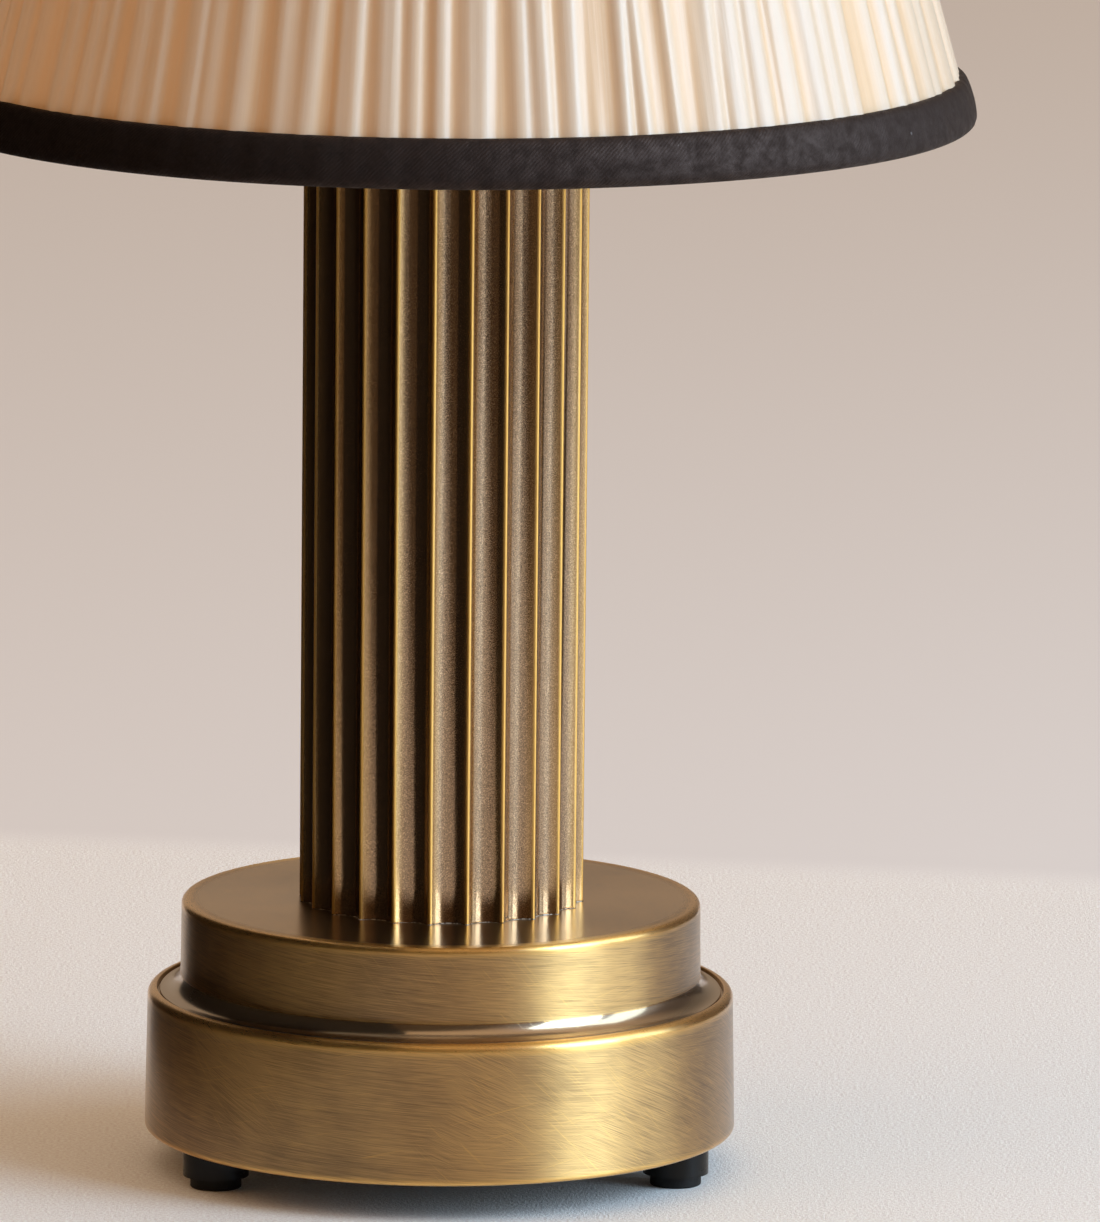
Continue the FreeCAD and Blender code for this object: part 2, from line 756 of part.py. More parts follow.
def harp_stud():
    head_z = stud_cavity_z() + STUD_CAVITY_H - STUD_HEAD_H
    return turned((0, head_z), [
        (STUD_HEAD_R, head_z),
        (STUD_HEAD_R, head_z + STUD_HEAD_H),
        (STUD_SHANK_R, head_z + STUD_HEAD_H),
        (STUD_SHANK_R, collar_top),
        (STUD_SEAT_R, collar_top),
        (STUD_SEAT_R, seat_z),
        (STUD_POST_R, seat_z),
        (STUD_POST_R, seat_z + STUD_POST_H - STUD_POST_CHAMFER),
        (STUD_POST_R - STUD_POST_CHAMFER, seat_z + STUD_POST_H),
        (0, seat_z + STUD_POST_H)])


# Lampholder

def holder_cap_profile(inset):
    """Outline points of the cap, moved inwards by a wall."""
    hub_z = holder_z + HOLDER_CAP_HUB_H + inset
    shoulder = holder_z + HOLDER_CAP_HUB_H + HOLDER_CAP_FLARE_H
    return [
        (HOLDER_CAP_HUB_R - inset, hub_z),
        (HOLDER_CAP_R - inset, shoulder),
        (HOLDER_CAP_R - inset, holder_rim_z)]


def socket_cap():
    bore = PIPE_R + THREAD_GAP
    outer = holder_cap_profile(0)
    inner = holder_cap_profile(HOLDER_CAP_WALL)
    hub = [(HOLDER_CAP_HUB_R, holder_z)]
    return turned((bore, holder_z), hub + outer + inner[::-1] + [(bore, inner[0][1])])


def shell_tuck_r():
    return HOLDER_CAP_R - HOLDER_CAP_WALL - THREAD_GAP


def shell_profile(inset):
    """Outline points of the outer shell, moved inwards by a wall."""
    waist_z = holder_rim_z + SHELL_STEP_H
    flare_z = waist_z + SHELL_WAIST_H
    return [
        (shell_tuck_r() - inset, shell_foot),
        (shell_tuck_r() - inset, waist_z - inset / 2),
        (SHELL_WAIST_R - inset, waist_z + SHELL_STEP_H),
        (SHELL_WAIST_R - inset, flare_z),
        (SHELL_R - inset, flare_z + SHELL_FLARE_H),
        (SHELL_R - inset, shell_foot + SHELL_H - SHELL_LIP_H)]


def socket_shell():
    outer = shell_profile(0)
    inner = shell_profile(SHELL_WALL)
    lip_z = shell_foot + SHELL_H - SHELL_LIP_H
    lip_top = shell_foot + SHELL_H
    lip = [(SHELL_LIP_R, lip_z + SHELL_LIP_H / 2), (SHELL_R, lip_top), (SHELL_R - SHELL_WALL, lip_top)]
    shell = turned(outer[0], outer[1:] + lip + inner[::-1])
    hole = bar(V(0, -2 * SHELL_R, switch_z()), V(0, 0, switch_z()), SWITCH_SHAFT_R + RUN_GAP)
    return shell.cut(hole)


def socket_liner():
    foot = holder_rim_z + 2 * SHELL_STEP_H + SHELL_WAIST_H + SHELL_FLARE_H
    top = shell_foot + SHELL_H - LINER_SHORT
    outer = SHELL_R - SHELL_WALL - THREAD_GAP
    return ring(outer, outer - LINER_T, foot, top - foot)


def socket_body():
    """Moulded insulator, gripped by the shell's tucked foot, with a pocket for the switch shaft."""
    body_r = shell_tuck_r() - SHELL_WALL - THREAD_GAP
    body = disc(body_r, body_foot, BODY_H)
    body = body.makeFillet(BODY_EDGE_R, [edge for edge in body.Edges if len(edge.Vertexes) == 1])
    mouth = V(0, -2 * body_r, switch_z())
    floor = V(0, SWITCH_POCKET_GAP - SWITCH_SHAFT_DEPTH, switch_z())
    return body.cut(bar(floor, mouth, SWITCH_SHAFT_R + RUN_GAP))


def socket_screw_shell():
    outer = THIMBLE_BORE_R + THIMBLE_WALL
    thimble = ring(outer, THIMBLE_BORE_R, body_top, THIMBLE_H)
    return thimble.fuse(ring(outer, THIMBLE_FLANGE_HOLE_R, body_top, THIMBLE_FLANGE_T)).removeSplitter()


def socket_centre_contact():
    """Bent strip: a foot on the body, a rising leg and a tongue under the bulb's tip."""
    bend_x = -CONTACT_LEG_RUN
    foot_x = bend_x - CONTACT_FOOT_L
    upper = CONTACT_RISE + CONTACT_STRIP_T
    points = [(foot_x, 0), (bend_x, 0), (0, CONTACT_RISE), (CONTACT_TONGUE_L, CONTACT_RISE),
              (CONTACT_TONGUE_L, upper), (-CONTACT_LEG_SKEW, upper),
              (bend_x - CONTACT_LEG_SKEW, CONTACT_STRIP_T), (foot_x, CONTACT_STRIP_T)]
    corners = [V(x, -CONTACT_STRIP_W / 2, body_top + z) for x, z in points]
    return Part.Face(Part.makePolygon(corners + corners[:1])).extrude(V(0, CONTACT_STRIP_W, 0))


def socket_terminal_screws():
    screw = disc(HOLDER_SCREW_R, body_foot - HOLDER_SCREW_H, HOLDER_SCREW_H)
    return around(screw, HOLDER_SCREW_X, (-90, 90))


# Turn switch

def switch_z():
    return body_foot + SWITCH_ABOVE_BODY_FOOT


def knob_start_y():
    return -(SHELL_WAIST_R + SWITCH_KNOB_GAP)


def switch_shaft():
    inner = V(0, -SWITCH_SHAFT_DEPTH, switch_z())
    outer = V(0, knob_start_y() - SWITCH_KNOB_BORE_L, switch_z())
    return bar(inner, outer, SWITCH_SHAFT_R)


def switch_knob():
    """Round hub that narrows to a flat-sided grip."""
    start = V(0, knob_start_y(), switch_z())
    hub_end = start - V(0, SWITCH_KNOB_HUB_L, 0)
    end = start - V(0, SWITCH_KNOB_L, 0)
    knob = bar(start, end, SWITCH_KNOB_R)
    rounds = [edge for edge in knob.Edges if len(edge.Vertexes) == 1]
    rim = [edge for edge in rounds if edge.BoundBox.YMax < hub_end.y]
    knob = knob.makeFillet(SWITCH_KNOB_EDGE_R, rim)
    for side in (-1, 1):
        near = SWITCH_KNOB_FLAT if side > 0 else -SWITCH_KNOB_FLAT - SWITCH_KNOB_R
        corner = V(near, end.y, switch_z() - SWITCH_KNOB_R)
        cheek = Part.makeBox(SWITCH_KNOB_R, hub_end.y - end.y, 2 * SWITCH_KNOB_R, corner)
        knob = knob.cut(cheek)
    return knob.cut(bar(start, start - V(0, SWITCH_KNOB_BORE_L, 0), SWITCH_SHAFT_R))


# Light bulb

def bulb_cap_foot():
    return bulb_tip + BULB_BUTTON_H + BULB_INSULATOR_H


def bulb_cap_top():
    return bulb_cap_foot() + BULB_CAP_H


def bulb_contact():
    return turned((0, bulb_tip), [
        (BULB_BUTTON_TIP_R, bulb_tip),
        (BULB_BUTTON_R, bulb_tip + BULB_BUTTON_TIP_H),
        (BULB_BUTTON_R, bulb_tip + BULB_BUTTON_H),
        (0, bulb_tip + BULB_BUTTON_H)])


def bulb_insulator():
    foot = bulb_tip + BULB_BUTTON_H
    return turned((0, foot), [
        (BULB_BUTTON_R + BULB_INSULATOR_RIM, foot),
        (BULB_CAP_R - BULB_CAP_TAPER, bulb_cap_foot()),
        (0, bulb_cap_foot())])


def bulb_cap():
    foot = bulb_cap_foot()
    top = bulb_cap_top()
    inner = BULB_CAP_R - BULB_CAP_WALL
    return turned((0, foot), [
        (BULB_CAP_R - BULB_CAP_TAPER, foot),
        (BULB_CAP_R, foot + BULB_CAP_TAPER_H),
        (BULB_CAP_R, top),
        (inner, top),
        (inner, foot + BULB_CAP_TAPER_H + BULB_CAP_WALL),
        (0, foot + BULB_CAP_WALL)])


def bulb_profile(inset):
    """Neck, straight cone and ball of the envelope, moved inwards by a wall: points and the ball's arc."""
    neck_r = BULB_NECK_R - inset
    ball_r = BULB_R - inset
    ball_z = bulb_tip + BULB_L - BULB_R
    neck_z = bulb_cap_top() + BULB_NECK_H
    distance = math.hypot(neck_r, ball_z - neck_z)
    lean = math.acos(ball_r / distance)
    to_neck = math.atan2(neck_z - ball_z, neck_r)
    touch = math.degrees(to_neck + lean)
    start = (ball_r * math.cos(math.radians(touch)), ball_z + ball_r * math.sin(math.radians(touch)))
    return (neck_r, neck_z), start, arc_step((0, ball_z), ball_r, touch, 90)


def bulb_glass():
    foot = bulb_cap_top() - BULB_NECK_TUCK
    neck, start, ball = bulb_profile(0)
    neck_in, start_in, ball_in = bulb_profile(BULB_GLASS_T)
    outer = turned((0, foot), [(BULB_NECK_R, foot), neck, start, ball])
    inner = turned((0, foot), [(BULB_NECK_R - BULB_GLASS_T, foot), neck_in, start_in, ball_in])
    return outer.cut(inner)


def stem_top():
    return bulb_cap_top() - BULB_NECK_TUCK + STEM_H


def bulb_stem():
    foot = bulb_cap_top() - BULB_NECK_TUCK
    inner = BULB_NECK_R - BULB_GLASS_T
    return turned((0, foot), [
        (inner, foot),
        (inner, foot + STEM_EDGE_H),
        ((STEM_FLARE_MID_R, foot + STEM_FLARE_MID_H), (STEM_POST_R, foot + STEM_FLARE_H)),
        (STEM_POST_R, stem_top() - STEM_TIP_CHAMFER),
        (STEM_POST_R - STEM_TIP_CHAMFER, stem_top()),
        (0, stem_top())])


def bulb_supports():
    """Central mast with a spoke to each end of each filament."""
    low = stem_top() + SPOKE_R
    high = low + FILAMENT_L
    mast = disc(MAST_R, stem_top(), high - stem_top() + SPOKE_R)
    for z in (low, high):
        for bearing in evenly(FILAMENT_COUNT, FILAMENT_BEARING):
            mast = mast.fuse(bar(V(0, 0, z), plan(FILAMENT_CIRCLE_R - FILAMENT_R, bearing, z), SPOKE_R))
    return mast.removeSplitter()


def bulb_filaments():
    low = stem_top() + SPOKE_R
    filament = disc(FILAMENT_R, low - SPOKE_R, FILAMENT_L + 2 * SPOKE_R)
    return around(filament, FILAMENT_CIRCLE_R, evenly(FILAMENT_COUNT, FILAMENT_BEARING))


# Shade

def cloth_r(z):
    """Outer radius of the cloth's crests at a height."""
    return SHADE_BOTTOM_R - (z - shade_bottom) * shade_slope


def frustum(depth, low, high):
    """Solid frustum that lies a radial depth under the cloth's crests."""
    return Part.makeCone(cloth_r(low) - depth, cloth_r(high) - depth, high - low, V(0, 0, low))


def gathered_wire(crest_r, z):
    """Closed wire of crests: each gather is an arc from fold to fold."""
    pitch = 360.0 / GATHER_COUNT
    edges = []
    for k in range(GATHER_COUNT):
        start = plan(crest_r - GATHER_DEPTH, (k - 0.5) * pitch, z)
        crest = plan(crest_r, k * pitch, z)
        end = plan(crest_r - GATHER_DEPTH, (k + 0.5) * pitch, z)
        edges.append(Part.Arc(start, crest, end).toShape())
    return Part.Wire(edges)


def shade_fabric():
    wires = [gathered_wire(cloth_r(z), z) for z in (shade_bottom, shade_top)]
    return Part.makeLoft(wires, True, True).cut(frustum(CLOTH_T, shade_bottom, shade_top))


def lining_depth():
    return CLOTH_T + 2 * ring_offset()


def ring_offset():
    """Radial distance from the cloth's inner face to the centre of a frame wire that touches it."""
    return RING_WIRE_R * math.hypot(1, shade_slope)


def shade_lining():
    """Smooth inner cone, notched round the spider's arms."""
    outer = frustum(lining_depth(), shade_bottom, shade_top)
    return outer.cut(frustum(lining_depth() + LINING_T, shade_bottom, shade_top)).cut(spider_arms())


def frame_ring(z):
    return Part.makeTorus(cloth_r(z) - CLOTH_T - ring_offset(), RING_WIRE_R, V(0, 0, z))


def bottom_ring_z():
    return shade_bottom + RING_INSET


def top_ring_z():
    return shade_top - RING_INSET


def shade_struts():
    """Wires between the two rings, on the inside of the cloth."""
    low = bottom_ring_z()
    high = top_ring_z()
    depth = CLOTH_T + ring_offset()
    rings = Part.makeCompound([frame_ring(low), frame_ring(high)])
    struts = []
    for bearing in evenly(STRUT_COUNT, STRUT_BEARING):
        foot = plan(cloth_r(low) - depth, bearing, low)
        head = plan(cloth_r(high) - depth, bearing, high)
        strut = bar(foot, head, STRUT_R)
        struts.append(strut.cut(rings).Solids[0])
    return Part.makeCompound(struts)


def spider_arms():
    """Wires from the hub's edge out to the upper ring."""
    z = top_ring_z()
    reach = cloth_r(z) - CLOTH_T - ring_offset()
    arms = []
    for bearing in evenly(ARM_COUNT, ARM_BEARING):
        arms.append(bar(plan(HUB_R - ARM_R, bearing, seat_z + ARM_R), plan(reach, bearing, z), ARM_R))
    return Part.makeCompound(arms)


def shade_spider():
    hub = ring(HUB_R, STUD_POST_R + HUB_BORE_GAP, seat_z, HUB_T)
    above_hub = disc(HUB_R, hub_top, 2 * ARM_R)
    below_seat = disc(2 * HUB_R, seat_z - 2 * ARM_R, 2 * ARM_R)
    arms = spider_arms().cut(above_hub).cut(below_seat).cut(frame_ring(top_ring_z()))
    return hub.fuse(arms).removeSplitter()


def trim(edge_z, outward, bulge):
    """Soft binding over one edge of the shade; outward is -1 at the lower edge and 1 at the upper one."""
    inner_depth = lining_depth() + LINING_T
    far = edge_z - outward * TRIM_H
    near = edge_z + outward * TRIM_WRAP
    crown = edge_z - outward * TRIM_CROWN_H
    inner_far = edge_z - outward * TRIM_INNER_H
    lip = (cloth_r(near) - TRIM_LIP_IN, near)
    return turned((cloth_r(far), far), [
        ((cloth_r(crown) + bulge, crown), lip),
        (cloth_r(near) - inner_depth - TRIM_WRAP, near),
        (cloth_r(inner_far) - inner_depth - TRIM_WRAP, inner_far),
        (cloth_r(inner_far) - inner_depth, inner_far),
        (cloth_r(edge_z) - inner_depth, edge_z),
        (cloth_r(edge_z), edge_z)])


# Finial

def finial_insert():
    return ring(FINIAL_INSERT_R, STUD_POST_R + RUN_GAP, hub_top, FINIAL_INSERT_H)


def finial_knob():
    foot = hub_top
    neck = foot + FINIAL_FOOT_H
    ball_z = neck + FINIAL_NECK_H + FINIAL_BALL_LIFT
    bore_r = FINIAL_INSERT_R + RUN_GAP
    bore_top = foot + FINIAL_INSERT_H + FINIAL_CROWN_T
    low_deg = -math.degrees(math.acos(FINIAL_NECK_R / FINIAL_BALL_R))
    high_deg = math.degrees(math.acos(FINIAL_TIP_R / FINIAL_BALL_R))
    ball_foot = ball_z + FINIAL_BALL_R * math.sin(math.radians(low_deg))
    ball_head = ball_z + FINIAL_BALL_R * math.sin(math.radians(high_deg))
    tip_z = ball_head + FINIAL_TIP_NECK_H
    return turned((bore_r, foot), [
        (FINIAL_FOOT_R - FINIAL_FOOT_CHAMFER, foot),
        (FINIAL_FOOT_R, foot + FINIAL_FOOT_CHAMFER),
        (FINIAL_FOOT_R, neck - FINIAL_FOOT_CHAMFER),
        (FINIAL_NECK_R, neck),
        (FINIAL_NECK_R, ball_foot),
        arc_step((0, ball_z), FINIAL_BALL_R, low_deg, high_deg),
        (FINIAL_TIP_R, tip_z),
        arc_step((0, tip_z), FINIAL_TIP_R, 0, 90),
        (0, bore_top),
        (bore_r, bore_top)])


PIECES = {
    "foot_bodies": foot_bodies(),
    "foot_pads": foot_pads(),
    "foot_screws": foot_screws(),
    "foot_nuts": foot_nuts(),
    "base_plate": base_plate(),
    "plate_pillars": plate_pillars(),
    "plate_screws": plate_screws(),
    "base_weight": base_weight(),
    "base_plinth": base_plinth(),
    "base_drum": base_drum(),
    "cable_inlet_bush": cable_inlet_bush(),
    "terminal_block": terminal_block(),
    "terminal_screws": terminal_screws(),
    "terminal_block_screw": terminal_block_screw(),
    "internal_wires": internal_wires(),
    "lamp_pipe": lamp_pipe(),
    "lock_washer": lock_washer(),
    "pipe_nut_lower": pipe_nut_lower(),
    "pipe_nut_upper": pipe_nut_upper(),
    "fluted_column": fluted_column(),
    "column_lower_spigot": column_lower_spigot(),
    "column_upper_spigot": column_upper_spigot(),
    "column_cap": column_cap(),
    "neck_spacer": neck_spacer(),
    "harp_saddle": harp_saddle(),
    "harp": harp(),
    "harp_top_collar": harp_top_collar(),
    "harp_sleeve_left": harp_sleeve(-1),
    "harp_sleeve_right": harp_sleeve(1),
    "harp_stud": harp_stud(),
    "socket_cap": socket_cap(),
    "socket_shell": socket_shell(),
    "socket_liner": socket_liner(),
    "socket_body": socket_body(),
    "socket_screw_shell": socket_screw_shell(),
    "socket_centre_contact": socket_centre_contact(),
    "socket_terminal_screws": socket_terminal_screws(),
    "switch_shaft": switch_shaft(),
    "switch_knob": switch_knob(),
    "bulb_contact": bulb_contact(),
    "bulb_insulator": bulb_insulator(),
    "bulb_cap": bulb_cap(),
    "bulb_glass": bulb_glass(),
    "bulb_stem": bulb_stem(),
    "bulb_supports": bulb_supports(),
    "bulb_filaments": bulb_filaments(),
    "shade_fabric": shade_fabric(),
    "shade_lining": shade_lining(),
    "shade_bottom_ring": frame_ring(bottom_ring_z()),
    "shade_top_ring": frame_ring(top_ring_z()),
    "shade_struts": shade_struts(),
    "shade_spider": shade_spider(),
    "shade_bottom_trim": trim(shade_bottom, -1, TRIM_BULGE),
    "shade_top_trim": trim(shade_top, 1, TRIM_BULGE).cut(spider_arms()),
    "finial_insert": finial_insert(),
    "finial_knob": finial_knob(),
}

for name, shape in PIECES.items():
    shape.exportStep("parts/" + name + ".step")
    print(name, len(shape.Solids), "solids, valid", shape.isValid(), "volume", round(shape.Volume, 1))
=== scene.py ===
"""Looks of a column table lamp: brushed antique brass, a gathered shade and its soft black binding."""

import math

import bmesh
import bpy
import numpy as np
from mathutils import Matrix, Vector


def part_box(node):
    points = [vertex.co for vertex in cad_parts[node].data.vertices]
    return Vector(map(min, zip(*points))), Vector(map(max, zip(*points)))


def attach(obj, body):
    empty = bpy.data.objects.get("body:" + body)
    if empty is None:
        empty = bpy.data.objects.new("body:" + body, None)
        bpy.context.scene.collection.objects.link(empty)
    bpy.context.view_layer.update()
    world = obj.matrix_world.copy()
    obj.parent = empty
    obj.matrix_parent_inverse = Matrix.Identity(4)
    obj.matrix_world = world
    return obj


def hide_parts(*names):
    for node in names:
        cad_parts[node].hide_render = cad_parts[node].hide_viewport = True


bl_info = {
    "name": "Column table lamp",
    "version": (1, 0, 0),
    "blender": (4, 5, 0),
    "location": "3D View > Sidebar > Lamp",
    "description": "Dresses the frame of a fluted column lamp with its metals, cloth and light",
    "category": "Object",
}

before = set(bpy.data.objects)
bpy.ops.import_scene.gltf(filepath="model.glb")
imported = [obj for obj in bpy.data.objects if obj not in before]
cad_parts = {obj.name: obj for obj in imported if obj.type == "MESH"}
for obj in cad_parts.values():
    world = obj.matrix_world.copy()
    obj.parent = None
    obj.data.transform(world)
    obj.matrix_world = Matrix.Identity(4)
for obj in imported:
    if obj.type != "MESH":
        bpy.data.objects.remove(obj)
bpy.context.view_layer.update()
MM = 0.001
TURN = 2 * math.pi


# Values read from the frame

def node_points(name):
    """Vertices of a frame node as an array of points."""
    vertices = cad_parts[name].data.vertices
    flat = np.zeros(len(vertices) * 3)
    vertices.foreach_get("co", flat)
    return flat.reshape(-1, 3)


def rim_radius(name, at_top):
    """Largest distance from the lamp's axis at a node's upper or lower end."""
    points = node_points(name)
    level = points[:, 2].max() if at_top else points[:, 2].min()
    near = abs(points[:, 2] - level) < 0.05 * MM
    return float(np.hypot(points[near, 0], points[near, 1]).max())


def node_radius(name):
    """Smallest distance of a node from the lamp's axis."""
    points = node_points(name)
    return float(np.hypot(points[:, 0], points[:, 1]).min())


def span(name):
    """Lowest and highest level of a node."""
    low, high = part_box(name)
    return low.z, high.z


# Settings that a user would change

def colour(name, text, value):
    return bpy.props.FloatVectorProperty(
        name=name, description=text, subtype="COLOR", size=len(value), min=0, max=1, default=value)


def length(name, text, value):
    return bpy.props.FloatProperty(
        name=name, description=text, subtype="DISTANCE", unit="LENGTH", precision=5, default=value)


def angle(name, text, degrees):
    return bpy.props.FloatProperty(
        name=name, description=text, subtype="ANGLE", unit="ROTATION", default=math.radians(degrees))


def factor(name, text, value, most=1.0):
    return bpy.props.FloatProperty(name=name, description=text, min=0, max=most, default=value)


def number(name, text, value):
    return bpy.props.IntProperty(name=name, description=text, min=1, default=value)


class LampBrass(bpy.types.PropertyGroup):
    """Colours of the antique brass and how it is brushed."""
    patina: colour("Patina", "Brass where the brown patina is thickest", (0.27, 0.155, 0.055))
    body: colour("Body", "Brushed brass between patina and wear", (0.56, 0.335, 0.118))
    # Gold also paints a reflection glow on the column's flute flanks beside the arrises.
    gold: colour("Gold", "Brass bared on rims and arrises", (0.88, 0.51, 0.13))
    bronze: colour("Bronze", "Darker brass of the column", (0.30, 0.197, 0.114))
    worked: colour("Worked", "Greyer brass of the polished cove", (0.40, 0.31, 0.21))
    brushed: factor("Brushed roughness", "Roughness of the base's walls and rims", 0.43)
    polished: factor("Polished roughness", "Roughness of cove and column", 0.15)
    across: factor("Anisotropy", "How far highlights stretch across the brush marks", 0.90)


class LampTiers(bpy.types.PropertyGroup):
    """Walls and roundings of the two drawn tiers."""
    shoulder: length("Shoulder", "Rounding of the upper tier's top edge", 1.5 * MM)
    cove: length("Cove", "Hollow rounding at the upper tier's foot", 4.7 * MM)
    flange: length("Flange", "Thickness of the flange round the cove", 1.2 * MM)
    top: length("Top", "Thickness of the upper tier's top", 2.0 * MM)
    upper_wall: length("Upper wall", "Thickness of the upper tier's wall", 1.6 * MM)
    bead: length("Bead", "Rounding of the lower tier's top edge", 2.2 * MM)
    hem: length("Hem", "Rounding of the lower tier's foot", 1.0 * MM)
    web: length("Web", "Thickness of the ledge under the upper tier", 1.6 * MM)
    lower_wall: length("Lower wall", "Thickness of the lower tier's wall", 1.2 * MM)
    corner: length("Corner", "Wear of every other corner", 0.18 * MM)
    inlet: length("Inlet", "Radius of the hole for the cable bush", 5.0 * MM)


class LampColumn(bpy.types.PropertyGroup):
    """Flutes of the column."""
    flutes: number("Flutes", "Flutes round the column", 24)
    first: angle("First arris", "Bearing of the arris nearest the front", -4.5)
    depth: length("Flute depth", "From the arrises to the flutes' floors", 2.3 * MM)
    land: length("Arris width", "Width of the flat between two flutes", 0.5 * MM)
    soft: length("Arris rounding", "How far wear has rounded each arris", 0.16 * MM)


class LampCloth(bpy.types.PropertyGroup):
    """Gathered cloth of the shade."""
    gathers: number("Gathers", "Main gathers round the shade", 94)
    depth: length("Gather depth", "From crest to fold", 1.8 * MM)
    thickness: length("Thickness", "Thickness of the cloth", 0.4 * MM)
    seed: number("Seed", "Start of the random gathers", 11)
    satin: colour("Cloth", "Cream cloth on the crests", (0.785, 0.61, 0.445))
    # Painted shade: the darker, warmer colour laid into the folds between the gathers.
    fold: colour("Folds", "Cloth between the gathers", (0.85, 0.575, 0.335))
    # Painted shade on the steep side of each gather.
    crease: colour("Creases", "Doubled cloth on the steep side of a gather", (0.72, 0.49, 0.295))
    binding: colour("Binding", "Soft black binding", (0.0022, 0.0018, 0.0018))


class LampLight(bpy.types.PropertyGroup):
    """Studio light, floor and backdrop."""
    key: factor("Key", "Power of the tall soft light in watts", 86, 500)
    side: factor("Side", "Power of the paler soft light beside it in watts", 24, 500)
    daylight: colour("Daylight", "Colour of both soft lights", (0.54, 0.76, 1.0))
    fill: factor("Fill", "Power of the warm light that the metal doesn't mirror, in watts", 6.0, 500)
    lamplight: colour("Lamplight", "Colour of the warm light", (1.0, 0.53, 0.20))
    ambient: factor("Ambient", "Strength of the light from all round", 1.0, 5)
    ceiling: colour("Ceiling", "Light from above", (0.87, 0.67, 0.49))
    floor: colour("Floor", "Pale floor", (0.995, 0.91, 0.86))
    backdrop: colour("Backdrop", "Backdrop behind the floor", (0.745, 0.695, 0.66))
    floor_end: length("Floor end", "Distance behind the lamp where the floor ends", 0.37)
    floor_turn: angle("Floor turn", "How far the floor's end is turned from the picture's plane", 9.5)


class LampView(bpy.types.PropertyGroup):
    """Camera of the photograph."""
    distance: length("Distance", "From the lamp's axis to the camera, along the ground", 3.0605)
    height: length("Height", "Height of the camera", 0.6648)
    pitch: angle("Pitch", "Tilt downwards", 9.837685)
    yaw: angle("Yaw", "Turn to the right", 0.475555)
    roll: angle("Roll", "Lean to the side", 0.527121)
    lens: bpy.props.FloatProperty(name="Lens", description="Focal length in millimetres", default=384.18)


class LampSettings(bpy.types.PropertyGroup):
    """All settings of the lamp."""
    brass: bpy.props.PointerProperty(type=LampBrass)
    tiers: bpy.props.PointerProperty(type=LampTiers)
    column: bpy.props.PointerProperty(type=LampColumn)
    cloth: bpy.props.PointerProperty(type=LampCloth)
    light: bpy.props.PointerProperty(type=LampLight)
    view: bpy.props.PointerProperty(type=LampView)


# Node materials

class Nodes:
    """A node tree, and short calls that add to it."""

    def __init__(self, tree):
        self.tree = tree

    def add(self, kind, *inputs, **settings):
        """Adds a node; each input is a value, a socket, or None for its default."""
        node = self.tree.nodes.new(kind)
        for key, value in settings.items():
            setattr(node, key, value)
        for index, value in enumerate(inputs):
            self.feed(node.inputs[index], value)
        return node

    def feed(self, socket, value):
        if isinstance(value, bpy.types.NodeSocket):
            self.tree.links.new(value, socket)
        elif value is not None:
            socket.default_value = value

    def named(self, node, **values):
        """Feeds a node's inputs by name; underscores stand for spaces."""
        for key, value in values.items():
            self.feed(node.inputs[key.replace("_", " ")], value)
        return node

    def math(self, operation, *inputs, clamp=False):
        return self.add("ShaderNodeMath", *inputs, operation=operation, use_clamp=clamp).outputs[0]

    def place(self):
        """Object coordinates."""
        return self.add("ShaderNodeTexCoord").outputs["Object"]

    def round_place(self, girth=1.0):
        """Cylinder coordinates: way round at a given radius, radius and level."""
        axes = self.add("ShaderNodeSeparateXYZ", self.place()).outputs
        bearing = self.math("ARCTAN2", axes[0], self.math("MULTIPLY", axes[1], -1.0))
        squares = [self.math("POWER", axis, 2.0) for axis in axes[:2]]
        radius = self.math("SQRT", self.math("ADD", *squares))
        way = self.math("MULTIPLY", bearing, girth)
        return self.add("ShaderNodeCombineXYZ", way, radius, axes[2]).outputs[0]

    def noise(self, place, scale=1.0, detail=2.0, rough=0.5, warp=0.0):
        node = self.add("ShaderNodeTexNoise")
        self.named(node, Vector=place, Scale=scale, Detail=detail, Roughness=rough, Distortion=warp)
        return node.outputs[0]

    def stretch(self, place, sizes, turn=(0.0, 0.0, 0.0)):
        """Turns a place and divides it by the sizes of one mark, so that a mark is one unit each way."""
        node = self.add("ShaderNodeMapping", vector_type="TEXTURE")
        return self.named(node, Vector=place, Rotation=turn, Scale=sizes).outputs[0]

    def ramp(self, value, low, high, out_low=0.0, out_high=1.0):
        """Maps low..high smoothly to out_low..out_high."""
        node = self.add("ShaderNodeMapRange", value, low, high, out_low, out_high)
        node.interpolation_type = "SMOOTHSTEP"
        return node.outputs[0]

    def between(self, share, first, second):
        """A number between two others."""
        return self.add("ShaderNodeMix", share, None, first, second).outputs[0]

    def mix(self, share, first, second):
        node = self.add("ShaderNodeMix", data_type="RGBA")
        self.feed(node.inputs["Factor"], share)
        self.feed(node.inputs[6], rgba(first))
        self.feed(node.inputs[7], rgba(second))
        return node.outputs[2]

    def bump(self, height, distance, strength=1.0, under=None):
        node = self.add("ShaderNodeBump")
        return self.named(node, Strength=strength, Distance=distance, Height=height, Normal=under).outputs[0]

    def attribute(self, name):
        return self.add("ShaderNodeAttribute", attribute_name=name).outputs["Fac"]

    def rim(self, radius, level, near, far):
        """One at a circle round the axis, fading to nothing from near to far away from it."""
        circle = (0.0, radius, level)
        away = self.add("ShaderNodeVectorMath", self.round_place(0.0), circle, operation="DISTANCE")
        return self.ramp(away.outputs["Value"], near, far, 1.0, 0.0)


